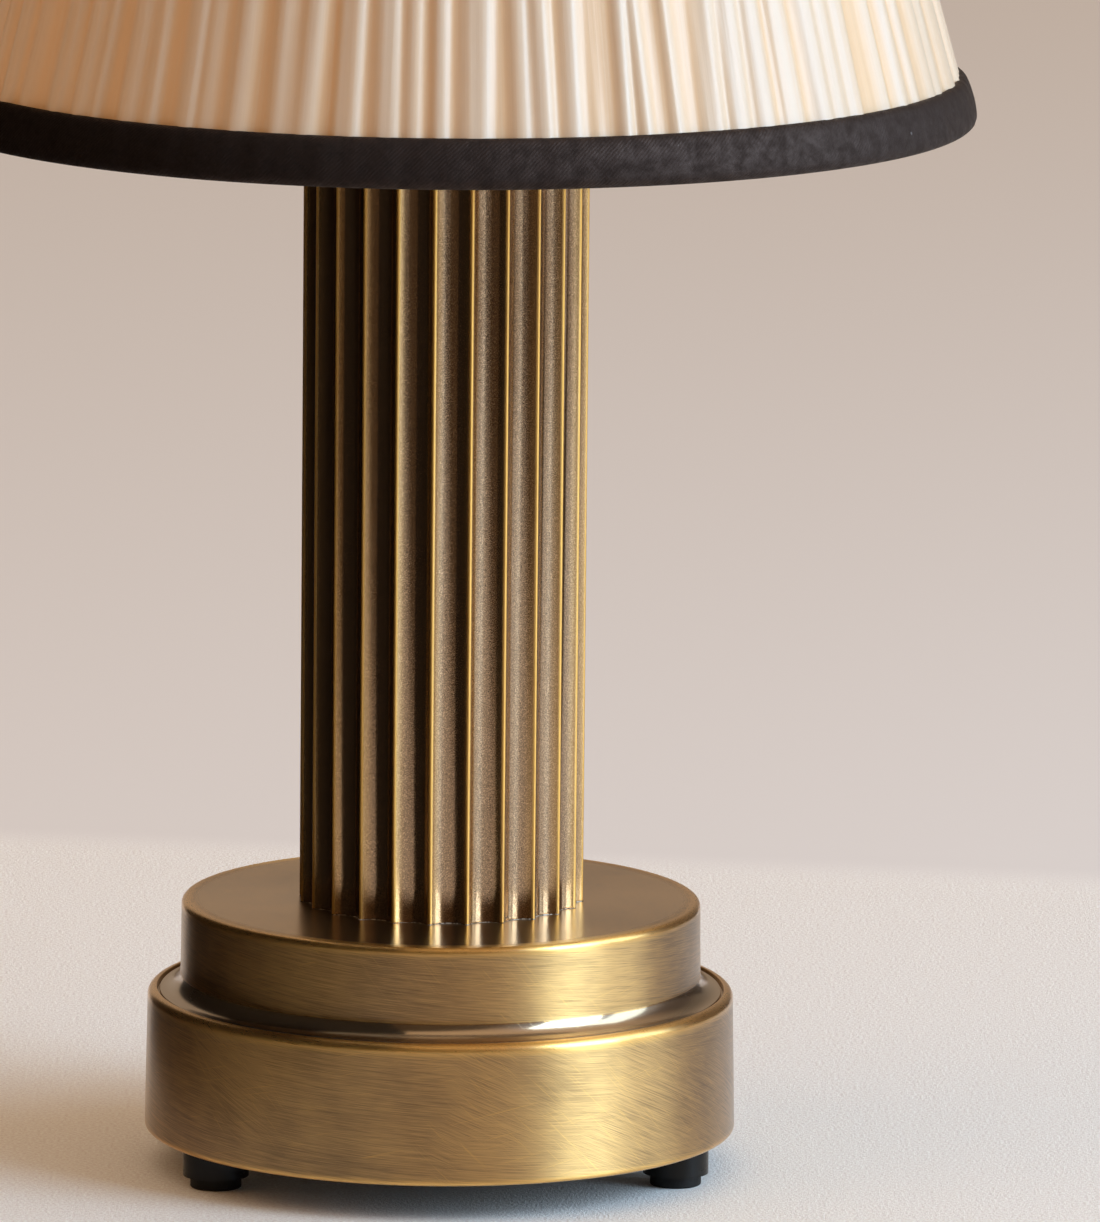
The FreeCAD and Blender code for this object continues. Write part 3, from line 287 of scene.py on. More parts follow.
class Shader(Nodes):
    """A node material with one Principled shader."""

    def __init__(self, name):
        self.material = bpy.data.materials.new(name)
        self.material.use_nodes = True
        super().__init__(self.material.node_tree)
        self.surface = self.tree.nodes["Principled BSDF"]

    def set(self, **values):
        """Sets the shader's own sockets."""
        self.named(self.surface, **values)

    def let_through(self, share, tint):
        """Lets a share of the light pass through, in a tint."""
        passing = self.add("ShaderNodeBsdfTranslucent", tint).outputs[0]
        blend = self.add("ShaderNodeMixShader", share, self.surface.outputs[0], passing).outputs[0]
        self.feed(self.tree.nodes["Material Output"].inputs[0], blend)


def rgba(value):
    """A colour with its alpha, or a socket as it is."""
    if isinstance(value, bpy.types.NodeSocket):
        return value
    return (*tuple(value)[:3], 1.0)


def shade_of(value, share):
    """A colour made darker or lighter."""
    return tuple(min(1.0, part * share) for part in tuple(value)[:3])


def dress(material, *names):
    """Gives frame nodes a material."""
    for name in names:
        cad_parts[name].material_slots[0].material = material


# Metals

def most(shader, values):
    """Largest of several masks."""
    total = values[0]
    for value in values[1:]:
        total = shader.math("MAXIMUM", total, value)
    return total


# Brush marks (hairs, long, swept) and scratches (steep, shallow): length round the lamp, depth and height
# in millimetres, and how far they fall to the right in radians
BRUSH_MARKS = (((9, 0.26, 0.13), 0.04), ((16, 0.40, 0.20), 0.10), ((11, 0.36, 0.14), 0.44))
SCRATCHES = (((10, 3, 0.16), 0.80), ((14, 3, 0.18), -0.24))
BRUSHED_RADIUS = 66 * MM


def brush_marks(s, unrolled, sizes, fall, detail=2.0):
    """Noise stretched into marks of a size in millimetres that fall to the right."""
    marks = s.stretch(unrolled, [size * MM for size in sizes], (0.0, fall, 0.0))
    return s.noise(marks, 1.0, detail, 0.6)


def turned_brass(settings, name, rims=(), swept_share=0.4):
    """Brass brushed about the axis and worn on its rims; its mark "polish" shines at 1 and is greyer at 2.

    Fine hairs and longer marks run round the axis and fall a little to the right. In patches, where the pad
    swept over the wall, they fall steeply instead, and here and there a single scratch crosses them. The
    tangent points across the marks, so that highlights stretch up and down a wall and in and out on a flat.
    """
    s = Shader(name)
    place = s.place()
    unrolled = s.round_place(BRUSHED_RADIUS)
    hairs, marks, swept = [brush_marks(s, unrolled, *mark) for mark in BRUSH_MARKS]
    steep, shallow = [brush_marks(s, unrolled, *scratch, 0.0) for scratch in SCRATCHES]
    cloud = s.noise(place, 38.0, 3.0, 0.6)
    patch = s.noise(place, 24.0, 2.0, 0.5, 0.8)
    start = 0.68 - 0.36 * swept_share
    brushing = s.between(s.ramp(patch, start, start + 0.16, 0.0, 0.8), s.between(0.45, hairs, marks), swept)
    scratch = most(s, [s.math("MULTIPLY", s.ramp(steep, 0.72, 0.80), s.ramp(patch, 0.40, 0.56)),
                       s.math("MULTIPLY", s.ramp(shallow, 0.75, 0.82), s.ramp(cloud, 0.40, 0.56))])
    base = s.mix(s.ramp(cloud, 0.20, 0.72, 0.15, 1.0), settings.patina, settings.body)
    base = s.mix(s.ramp(brushing, 0.48, 0.59, 0.0, 0.50), base, shade_of(settings.body, 1.3))
    base = s.mix(s.ramp(brushing, 0.47, 0.37, 0.0, 0.50), base, shade_of(settings.patina, 0.66))
    base = s.mix(s.math("MULTIPLY", scratch, 0.35), base, settings.gold)
    rough = s.math("MULTIPLY_ADD", s.math("SUBTRACT", brushing, 0.5), -0.24, settings.brushed)
    if rims:
        worn = most(s, [s.rim(*rim) for rim in rims])
        worn = s.math("MULTIPLY", worn, s.ramp(brushing, 0.30, 0.60, 0.45, 0.85), clamp=True)
        base = s.mix(worn, base, settings.gold)
        rough = s.math("MULTIPLY_ADD", worn, -0.16, rough)
    mark = s.attribute("polish")
    polish = s.ramp(mark, 0.0, 1.0)
    base = s.mix(s.ramp(mark, 1.2, 1.8, 0.0, 0.8), base, settings.worked)
    rough = s.between(polish, rough, settings.polished)
    brushing = s.between(s.math("MULTIPLY", polish, 0.75), brushing, 0.5)
    normal = s.bump(brushing, 0.012 * MM, 0.8)
    normal = s.bump(scratch, -0.005 * MM, 0.7, normal)
    tangent = s.add("ShaderNodeTangent", direction_type="RADIAL", axis="Z").outputs[0]
    s.set(Base_Color=base, Metallic=1.0, Roughness=rough, Normal=normal, Tangent=tangent,
          Anisotropic=settings.across, Anisotropic_Rotation=0.25, Coat_Weight=0.8, Coat_Roughness=0.28)
    return s.material


def solder(name):
    """Dull grey solder with dark breaks."""
    s = Shader(name)
    crumbs = s.noise(s.place(), 900.0, 3.0, 0.7)
    shade = s.mix(s.ramp(crumbs, 0.44, 0.60), (0.05, 0.035, 0.02), (0.46, 0.41, 0.35))
    s.set(Base_Color=shade, Metallic=0.6, Roughness=0.45, Normal=s.bump(crumbs, 0.08 * MM, 0.8))
    return s.material


def column_brass(settings, name):
    """Darker brass drawn lengthwise: pebbled skin, dark pits, bared gold arrises, painted reflection glow
    beside them.
    """
    s = Shader(name)
    place = s.place()
    drawn = s.noise(s.stretch(place, (0.25 * MM, 0.25 * MM, 30 * MM)), 1.0, 2.0, 0.6)
    peel = s.noise(place, 3400.0, 2.0, 0.6)
    pits = s.noise(place, 4200.0, 1.0, 0.5)
    cloud = s.noise(s.stretch(place, (14 * MM, 14 * MM, 60 * MM)), 1.0, 3.0, 0.6)
    base = s.mix(s.ramp(cloud, 0.32, 0.68), settings.bronze, shade_of(settings.bronze, 1.15))
    base = s.mix(s.ramp(drawn, 0.40, 0.70, 0.0, 0.35), base, shade_of(settings.bronze, 0.72))
    base = s.mix(s.ramp(pits, 0.53, 0.62, 0.0, 0.75), base, shade_of(settings.bronze, 0.3))
    base = s.mix(s.ramp(peel, 0.52, 0.62, 0.0, 0.75), base, shade_of(settings.bronze, 2.2))
    # Gold where the arris mark is high: bared metal on the arrises, painted reflection glow on the flanks
    # beside them.
    worn = s.math("MULTIPLY", s.attribute("arris"), s.ramp(cloud, 0.2, 0.5, 0.8, 1.0), clamp=True)
    base = s.mix(worn, base, settings.gold)
    rough = s.math("MULTIPLY_ADD", s.math("SUBTRACT", peel, 0.5), 0.10, settings.polished)
    rough = s.between(s.ramp(worn, 0.05, 0.75), rough, 0.50)
    normal = s.bump(peel, 0.02 * MM, 0.7)
    normal = s.bump(drawn, 0.004 * MM, 0.5, normal)
    s.set(Base_Color=base, Metallic=1.0, Roughness=rough, Normal=normal, Coat_Weight=0.3, Coat_Roughness=0.10)
    return s.material


def plain_metal(name, base, rough, grain=1200.0, stain=0.25, relief=0.01):
    """Plated or polished metal with faint handling marks."""
    s = Shader(name)
    place = s.place()
    fine = s.noise(place, grain, 3.0, 0.6)
    cloud = s.noise(place, grain / 30, 3.0, 0.6)
    shade = s.mix(s.ramp(cloud, 0.35, 0.70, 0.0, stain), base, shade_of(base, 0.55))
    marks = s.math("MULTIPLY_ADD", cloud, 0.16, rough - 0.08)
    s.set(Base_Color=shade, Metallic=1.0, Roughness=marks, Normal=s.bump(fine, relief * MM, 0.5))
    return s.material


def cast_iron(name):
    """Black painted casting with a sandy skin."""
    s = Shader(name)
    sand = s.noise(s.place(), 1500.0, 4.0, 0.7)
    shade = s.mix(s.ramp(sand, 0.35, 0.65), (0.02, 0.02, 0.02), (0.07, 0.065, 0.06))
    s.set(Base_Color=shade, Roughness=s.ramp(sand, 0.3, 0.7, 0.5, 0.75), Normal=s.bump(sand, 0.15 * MM, 0.8))
    return s.material


# Moulded, rubber and glass parts

def moulded(name, base, rough, grain=1800.0, relief=0.02, shine=0.5):
    """Moulded plastic or rubber with a fine spark-eroded skin and scuffs."""
    s = Shader(name)
    place = s.place()
    skin = s.noise(place, grain, 2.0, 0.6)
    scuff = s.noise(place, grain / 12, 4.0, 0.7)
    shade = s.mix(s.ramp(scuff, 0.52, 0.74, 0.0, 0.5), base, shade_of(base, 1.7))
    s.set(Base_Color=shade, Roughness=s.ramp(scuff, 0.3, 0.7, rough - 0.06, rough + 0.08),
          Specular_IOR_Level=shine, Normal=s.bump(skin, relief * MM, 0.6))
    return s.material


def clear_glass(name):
    """Thin clear glass with faint ripples."""
    s = Shader(name)
    ripple = s.noise(s.place(), 60.0, 1.0)
    s.set(Base_Color=(0.98, 0.99, 0.98, 1.0), Roughness=0.02, IOR=1.47, Transmission_Weight=1.0,
          Normal=s.bump(ripple, 0.02 * MM, 0.3))
    return s.material


def phosphor(name):
    """Powdery yellow coating of the light strips."""
    s = Shader(name)
    powder = s.noise(s.place(), 4000.0, 3.0, 0.7)
    shade = s.mix(s.ramp(powder, 0.3, 0.7), (0.85, 0.55, 0.14), (0.95, 0.72, 0.28))
    s.set(Base_Color=shade, Roughness=0.75, Normal=s.bump(powder, 0.03 * MM, 0.6))
    return s.material


# Cloth materials

def gathered_cloth(settings, name):
    """Cream satin: fine upright slubs, painted shade in the folds and on the gathers' steep sides, a soft
    sheen, and some light passing through.
    """
    s = Shader(name)
    cloth = s.add("ShaderNodeUVMap", uv_map="cloth").outputs[0]
    slub = s.noise(s.stretch(cloth, (0.7 * MM, 60 * MM, 1.0)), 1.0, 3.0, 0.6)
    streak = s.noise(s.stretch(cloth, (3 * MM, 140 * MM, 1.0)), 1.0, 3.0, 0.6, 0.4)
    weave = s.noise(s.stretch(cloth, (0.28 * MM, 0.33 * MM, 1.0)), 1.0, 1.0)
    # Painted shade: the folds between the gathers take the darker, warmer fold colour; the crests keep the
    # paler cloth colour.
    fold_shade_share = s.ramp(s.attribute("fold"), 0.25, 0.98)
    base = s.mix(fold_shade_share, settings.satin, settings.fold)
    base = s.mix(s.ramp(streak, 0.42, 0.66, 0.0, 0.35), base, shade_of(settings.fold, 0.92))
    base = s.mix(s.ramp(slub, 0.45, 0.75, 0.0, 0.35), base, shade_of(settings.satin, 1.04))
    # Painted shade: a darker tan on the steep side of each gather.
    base = s.mix(s.ramp(s.attribute("crease"), 0.1, 0.9, 0.0, 0.20), base, settings.crease)
    normal = s.bump(streak, 0.25 * MM, 0.5)
    normal = s.bump(slub, 0.05 * MM, 0.5, normal)
    normal = s.bump(weave, 0.02 * MM, 0.3, normal)
    s.set(Base_Color=base, Roughness=0.36, Specular_IOR_Level=0.7, Sheen_Weight=0.15, Sheen_Roughness=0.4,
          Sheen_Tint=(1.0, 0.93, 0.82, 1.0), Normal=normal)
    s.let_through(0.22, s.mix(0.5, base, settings.fold))
    return s.material


def plain_cloth(name, base):
    """Plain woven lining: crossed threads from two waves."""
    s = Shader(name)
    cloth = s.add("ShaderNodeUVMap", uv_map="cloth").outputs[0]
    warp = s.add("ShaderNodeTexWave", cloth, 380.0, 1.5, 2.0, bands_direction="X").outputs["Fac"]
    weft = s.add("ShaderNodeTexWave", cloth, 380.0, 1.5, 2.0, bands_direction="Y").outputs["Fac"]
    weave = s.math("MAXIMUM", warp, weft)
    uneven = s.noise(cloth, 90.0, 3.0, 0.6)
    shade = s.mix(s.ramp(uneven, 0.35, 0.7, 0.0, 0.5), base, shade_of(base, 0.86))
    s.set(Base_Color=shade, Roughness=0.8, Sheen_Weight=0.15, Normal=s.bump(weave, 0.06 * MM, 0.5))
    s.let_through(0.25, rgba(base))
    return s.material


def binding_cloth(settings, name):
    """Soft black cotton binding: short nap, a fine twill and a few pale specks of lint."""
    s = Shader(name)
    cloth = s.add("ShaderNodeUVMap", uv_map="cloth").outputs[0]
    nap = s.noise(cloth, 2600.0, 4.0, 0.8)
    twill = s.add("ShaderNodeTexWave", s.stretch(cloth, (1.0, 1.0, 1.0), (0.0, 0.0, 0.78)), 420.0, 2.0, 2.0)
    mottle = s.noise(cloth, 260.0, 4.0, 0.7)
    cells = s.named(s.add("ShaderNodeTexVoronoi", cloth, feature="F1"), Scale=210.0)
    chosen = s.ramp(s.noise(cloth, 95.0, 1.0), 0.66, 0.70)
    speck = s.math("MULTIPLY", s.ramp(cells.outputs["Distance"], 0.05, 0.11, 1.0, 0.0), chosen)
    base = s.mix(s.ramp(mottle, 0.3, 0.7), settings.binding, shade_of(settings.binding, 3.0))
    base = s.mix(s.math("MULTIPLY", speck, 0.5), base, (0.32, 0.30, 0.29))
    normal = s.bump(twill.outputs["Fac"], 0.08 * MM, 0.5)
    normal = s.bump(mottle, 0.4 * MM, 0.5, normal)
    normal = s.bump(nap, 0.12 * MM, 0.7, normal)
    s.set(Base_Color=base, Roughness=s.ramp(mottle, 0.3, 0.7, 0.80, 0.50), Specular_IOR_Level=0.5,
          Specular_Tint=(1.0, 0.66, 0.53, 1.0), Normal=normal)
    return s.material


# Surfaces on a grid

def placed(name, data):
    """A new object, linked into the scene."""
    item = bpy.data.objects.new(name, data)
    bpy.context.scene.collection.objects.link(item)
    return item


def surface(name, points, uv=None, **marks):
    """Closed mesh over a grid of points whose rows and columns both run round and meet themselves.

    The four corners of each quad are grid points (i, j), (i + 1, j), (i + 1, j + 1), (i, j + 1), taken round.
    The quads are turned over where the volume, a sixth of the summed triple products of their triangles, is
    negative.
    """
    rows, columns = points.shape[:2]
    i, j = np.meshgrid(np.arange(rows), np.arange(columns), indexing="ij")
    corners = np.array([[i, i + 1, i + 1, i], [j, j, j + 1, j + 1]])
    corners = corners.transpose(0, 2, 3, 1).reshape(2, -1, 4)
    quads = (corners[0] % rows) * columns + corners[1] % columns
    flat = points.reshape(-1, 3)
    a, b, c, d = (flat[quads[:, k]] for k in range(4))
    volume = (a * (np.cross(b, c) + np.cross(c, d))).sum()
    if volume < 0:
        quads = quads[:, ::-1]
        corners = corners[:, :, ::-1]
    mesh = bpy.data.meshes.new(name)
    mesh.vertices.add(len(flat))
    mesh.vertices.foreach_set("co", flat.ravel())
    mesh.loops.add(quads.size)
    mesh.loops.foreach_set("vertex_index", quads.ravel())
    mesh.polygons.add(len(quads))
    mesh.polygons.foreach_set("loop_start", np.arange(len(quads)) * 4)
    mesh.polygons.foreach_set("use_smooth", np.ones(len(quads), bool))
    mesh.update(calc_edges=True)
    if uv is not None:
        places = uv[corners[0].ravel(), corners[1].ravel()]
        mesh.uv_layers.new(name="cloth").data.foreach_set("uv", places.ravel())
    for mark, values in marks.items():
        mesh.attributes.new(mark, "FLOAT", "POINT").data.foreach_set("value", values.ravel())
    mesh.validate()
    return placed(name, mesh)


def around(radius, bearing, level):
    """Points at a radius, a bearing from the front and a level."""
    radius, bearing, level = np.broadcast_arrays(radius, bearing, level)
    return np.stack([radius * np.sin(bearing), -radius * np.cos(bearing), level], -1)


def finish(piece, material, body, slot, *stands_for):
    """Gives a new piece its material and its body, and hides the nodes that it stands for. The slot is not
    used.
    """
    piece.data.materials.append(material)
    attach(piece, body)
    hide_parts(*stands_for)


def soft_least(first, second, width):
    """Smaller of two values, with the corner between them rounded over a width."""
    return 0.5 * (first + second - np.sqrt((first - second) ** 2 + width ** 2))


# Column

def flute_radius(bearing, rim, settings):
    """Radius of the fluted outline: the soft least of the rim's circle and each flute's arc.

    With u the distance round the rim from a flute's middle, the arc is floor + c - sqrt(c squared - u
    squared), and c makes it reach the rim at the edge of the land.
    """
    pitch = TURN / settings.flutes
    half = (pitch * rim - settings.land) / 2
    curve = (half ** 2 + settings.depth ** 2) / (2 * settings.depth)
    from_arris = np.mod(bearing - settings.first, pitch) - pitch / 2
    u = from_arris * rim
    arc = rim - settings.depth + curve - np.sqrt(np.maximum(curve ** 2 - u ** 2, 0))
    return soft_least(arc, np.full_like(arc, rim), settings.soft), np.abs(u) / half


class LAMP_OT_column(bpy.types.Operator):
    """Fluted brass tube of the column, with rounded arrises and softened ends"""
    bl_idname = "lamp.column"
    bl_label = "Column"

    def execute(self, context):
        lamp = context.scene.lamp
        low, high = span("fluted_column")
        rim = rim_radius("fluted_column", True)
        bore = node_radius("fluted_column")
        steps = 30 * lamp.column.flutes
        bearing = lamp.column.first + np.arange(steps) * TURN / steps
        outer, reach = flute_radius(bearing, rim, lamp.column)
        edge = 0.2 * MM
        rise = np.array([0, 0.3 * edge, edge, edge + 0.3 * MM])
        inset = np.array([edge, 0.3 * edge, *np.zeros(10), 0.3 * edge, edge])
        level = np.concatenate([low + rise, np.linspace(low, high, 8)[1:-1], high - rise[::-1]])
        skin = around(outer[None] - inset[:, None], bearing[None], level[:, None])
        back = around(bore, bearing[None], np.array([high, low])[:, None])
        # The arris mark is bared gold on the arrises themselves, plus a painted reflection glow spreading
        # over the flute flanks beside them.
        bared_arris = np.clip((reach - 0.90) / 0.08, 0, 1) ** 2
        painted_flank_glow = np.clip((reach - 0.45) / 0.5, 0, 1) ** 1.5
        arris = 0.68 * bared_arris + 0.32 * painted_flank_glow
        worn = np.concatenate([np.tile(arris, (len(inset), 1)), np.zeros((2, steps))])
        piece = surface("column_tube", np.concatenate([skin, back]), arris=worn)
        finish(piece, column_brass(lamp.brass, "column_brass_drawn"), "lamp", "column_brass", "fluted_column")
        bead = np.arange(8)[:, None] * TURN / 8
        lumps = np.sin(9 * bearing + 1) + np.sin(41 * bearing) * np.sin(17 * bearing + 2)
        size = (0.15 + 0.05 * lumps) * MM
        seam = around(outer - edge + size * (1.2 + np.cos(bead)), bearing, low + size * np.sin(bead))
        finish(surface("column_seam", seam), solder("dull_solder"), "lamp", "solder")
        return {"FINISHED"}


# Turned pieces

def rounded(corners, arc_steps=12, tuck=0.25 * MM, longest=3 * MM):
    """Closed outline in (radius, level) through corners (radius, level, rounding), each an arc.

    With a and b the unit vectors to the corners before and after and h half the angle between them, the arc
    starts at rounding / tan(h) along a and ends as far along b, and its centre is rounding / sin(h) along
    their bisector. Each straight run has a point a little way from its arcs, so that it shades flat, and more
    where it is long.
    """
    points = np.array([corner[:2] for corner in corners])
    radii = np.array([corner[2] for corner in corners])
    back = np.roll(points, 1, 0) - points
    on = np.roll(points, -1, 0) - points
    run = np.linalg.norm(on, axis=1)
    a = back / np.linalg.norm(back, axis=1)[:, None]
    b = on / run[:, None]
    half = np.arccos((a * b).sum(1)) / 2
    reach = radii / np.tan(half)
    centre = points + (a + b) / np.linalg.norm(a + b, axis=1)[:, None] * (radii / np.sin(half))[:, None]
    outline = []
    for k in range(len(points)):
        sweep = math.pi - 2 * half[k]
        first = points[k] + a[k] * reach[k] - centre[k]
        last = points[k] + b[k] * reach[k] - centre[k]
        steps = arc_steps if radii[k] > MM else 5
        t = np.linspace(0, 1, steps)[:, None]
        arc = (np.sin((1 - t) * sweep) * first + np.sin(t * sweep) * last) / math.sin(sweep)
        outline.extend(centre[k] + arc)
        free = run[k] - reach[k] - reach[(k + 1) % len(points)]
        aside = min(tuck, free / 3)
        count = int((free - 2 * aside) / longest) + 2
        along = reach[k] + np.linspace(aside, free - aside, count)
        outline.extend(points[k] + b[k] * along[:, None])
    return np.array(outline)


def turned(name, corners, polished, steps=720):
    """Rounded outline carried once round the axis; polished gives the mark of radii and levels."""
    outline = rounded(corners)
    bearing = np.arange(steps) * TURN / steps
    shine = np.tile(polished(outline[:, :1], outline[:, 1:]).astype(float), (1, steps))
    return surface(name, around(outline[:, :1], bearing[None], outline[:, 1:]), polish=shine)


def drill_back(piece, radius, level, near, far):
    """Bores a round hole through a wall at the rear, from near to far along Y."""
    mesh = bpy.data.meshes.new("drill")
    shape = bmesh.new()
    bmesh.ops.create_cone(shape, cap_ends=True, segments=64, radius1=radius, radius2=radius, depth=far - near)
    bmesh.ops.rotate(shape, verts=shape.verts, matrix=Matrix.Rotation(math.pi / 2, 3, "X"))
    bmesh.ops.translate(shape, verts=shape.verts, vec=(0, (near + far) / 2, level))
    shape.to_mesh(mesh)
    shape.free()
    drill = placed("drill", mesh)
    bore = piece.modifiers.new("bore", "BOOLEAN")
    bore.object = drill
    whole = piece.evaluated_get(bpy.context.evaluated_depsgraph_get())
    cut = bpy.data.meshes.new_from_object(whole)
    piece.modifiers.clear()
    piece.data = cut
    bpy.data.objects.remove(drill)
    cut.set_sharp_from_angle(angle=math.radians(40))


# Base, feet and what they hold

class LAMP_OT_base(bpy.types.Operator):
    """Brushed brass of the two tiers, black feet, steel plate, iron weight and wiring"""
    bl_idname = "lamp.base"
    bl_label = "Base"

    def execute(self, context):
        brass = context.scene.lamp.brass
        tiers = context.scene.lamp.tiers
        low, high = span("base_drum")
        foot = rim_radius("base_plinth", False) + tiers.hem
        bottom, top = span("base_plinth")
        shoulder = rim_radius("base_drum", True) + tiers.shoulder
        flange = rim_radius("base_drum", False)
        cove_foot = low + tiers.flange
        wall_foot = flange - tiers.cove - tiers.corner
        hole = node_radius("base_drum")
        crown = rim_radius("base_plinth", True)
        bead = crown + tiers.bead
        web_hole = node_radius("base_plinth")
        wear = tiers.corner
        # Worn rims: radius, level, and how far from there the wear starts and stops fading
        upper_rims = [(shoulder - 0.5 * MM, high, 0.9 * MM, 3.0 * MM)]
        lower_rims = [(bead - 0.8 * MM, top - 0.6 * MM, 1.1 * MM, 3.2 * MM),
                      (foot, bottom, 0.4 * MM, 2.0 * MM)]
        upper = turned("upper_tier", [
            (hole, high, wear), (shoulder, high, tiers.shoulder), (wall_foot, cove_foot, tiers.cove),
            (flange, cove_foot, wear), (flange, low, wear), (shoulder - tiers.upper_wall, low, wear),
            (shoulder - tiers.upper_wall, high - tiers.top, wear), (hole, high - tiers.top, wear)],
            lambda radius, level: 0.75 * (radius < shoulder - 2 * tiers.shoulder) * (level > high - 0.01 * MM)
            + 2.0 * (level < cove_foot + 0.8 * tiers.cove))
        upper_brass = turned_brass(brass, "upper_tier_brass", upper_rims, 0.2)
        finish(upper, upper_brass, "lamp", "tier_brass", "base_drum")
        inner = foot - tiers.lower_wall
        lower = turned("lower_tier", [
            (inner, bottom, wear), (foot, bottom, tiers.hem), (bead, top, tiers.bead - wear - 0.05 * MM),
            (crown, top, wear), (crown, low, wear), (web_hole, low, wear), (web_hole, low - tiers.web, wear),
            (bead - tiers.lower_wall, low - tiers.web, wear)], lambda radius, level: 2.0 * (radius < crown))
        near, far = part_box("cable_inlet_bush")
        drill_back(lower, tiers.inlet, (near.z + far.z) / 2, near.y - 5 * MM, far.y + 5 * MM)
        lower_brass = turned_brass(brass, "lower_tier_brass", lower_rims, 0.55)
        finish(lower, lower_brass, "lamp", "tier_brass", "base_plinth")
        dress(moulded("foot_nylon_black", (0.004, 0.003, 0.002), 0.32, shine=0.25), "foot_bodies")
        dress(moulded("foot_rubber_black", (0.005, 0.004, 0.003), 0.55, 1400.0, 0.04, 0.25), "foot_pads",
              "cable_inlet_bush")
        zinc = plain_metal("zinc_plate", (0.62, 0.62, 0.60), 0.34)
        dress(zinc, "foot_screws", "foot_nuts", "plate_pillars", "plate_screws", "terminal_screws",
              "terminal_block_screw", "lamp_pipe", "lock_washer", "pipe_nut_lower")
        dress(plain_metal("dark_steel", (0.16, 0.155, 0.15), 0.48, 900.0, 0.5), "base_plate")
        dress(cast_iron("iron_casting"), "base_weight")
        dress(moulded("white_nylon", (0.78, 0.77, 0.73), 0.45), "terminal_block", "column_lower_spigot",
              "column_upper_spigot")
        dress(moulded("wire_sleeve", (0.035, 0.035, 0.04), 0.40), "internal_wires")
        return {"FINISHED"}


# Neck, harp, lampholder and finial

class LAMP_OT_hardware(bpy.types.Operator):
    """Brass neck, harp, lampholder, switch and finial"""
    bl_idname = "lamp.hardware"
    bl_label = "Hardware"

    def execute(self, context):
        brass = context.scene.lamp.brass
        dress(turned_brass(brass, "turned_brass_fittings"), "column_cap", "neck_spacer", "finial_knob")
        lacquered = plain_metal("lacquered_brass", (0.74, 0.55, 0.27), 0.24)
        dress(lacquered, "pipe_nut_upper", "harp_saddle", "harp", "harp_top_collar", "harp_sleeve_left",
              "harp_sleeve_right", "harp_stud", "socket_cap", "socket_shell", "socket_centre_contact",
              "socket_terminal_screws", "switch_shaft", "finial_insert")
        phenolic = moulded("black_phenolic", (0.02, 0.018, 0.016), 0.25, 2200.0, 0.008)
        dress(phenolic, "socket_body", "switch_knob")
        dress(moulded("pressed_fibre", (0.36, 0.28, 0.19), 0.7), "socket_liner")
        dress(plain_metal("rolled_aluminium", (0.76, 0.76, 0.74), 0.32), "socket_screw_shell")
        return {"FINISHED"}


class LAMP_OT_bulb(bpy.types.Operator):
    """Clear bulb with four light strips and its rolled cap"""
    bl_idname = "lamp.bulb"
    bl_label = "Bulb"

    def execute(self, context):
        dress(plain_metal("bulb_cap_metal", (0.74, 0.74, 0.72), 0.30), "bulb_cap")
        dress(plain_metal("bulb_solder", (0.50, 0.50, 0.49), 0.45), "bulb_contact")
        dress(moulded("bulb_black_glass", (0.012, 0.012, 0.013), 0.18), "bulb_insulator")
        dress(clear_glass("bulb_clear_glass"), "bulb_glass", "bulb_stem")
        dress(plain_metal("bulb_wire", (0.55, 0.54, 0.52), 0.35), "bulb_supports")
        dress(phosphor("bulb_phosphor"), "bulb_filaments")
        return {"FINISHED"}


# Shade

def shade_line(node):
    """Radius of the foot of a cloth of the shade, its slope inwards, and its two levels."""
    low, high = span(node)
    foot = rim_radius(node, False)
    return foot, (foot - rim_radius(node, True)) / (high - low), low, high


def two_skins(name, outer, thick, bearing, level, foot, slope, **marks):
    """Closed cloth on a cone: an outer skin and one a thickness further in, with a UV map in metres."""
    skins = [around(outer, bearing[None], level), around(outer - thick, bearing[None], level)[::-1]]
    climb = (level[:, 0] - level[0, 0]) * math.hypot(1, slope)
    climb = np.concatenate([climb, climb[::-1], climb[:1]])
    run = np.append(bearing, TURN) * foot
    uv = np.stack(np.broadcast_arrays(run[None], climb[:, None]), -1)
    marks = {mark: np.concatenate([values, values[::-1]]) for mark, values in marks.items()}
    return surface(name, np.concatenate(skins), uv, **marks)


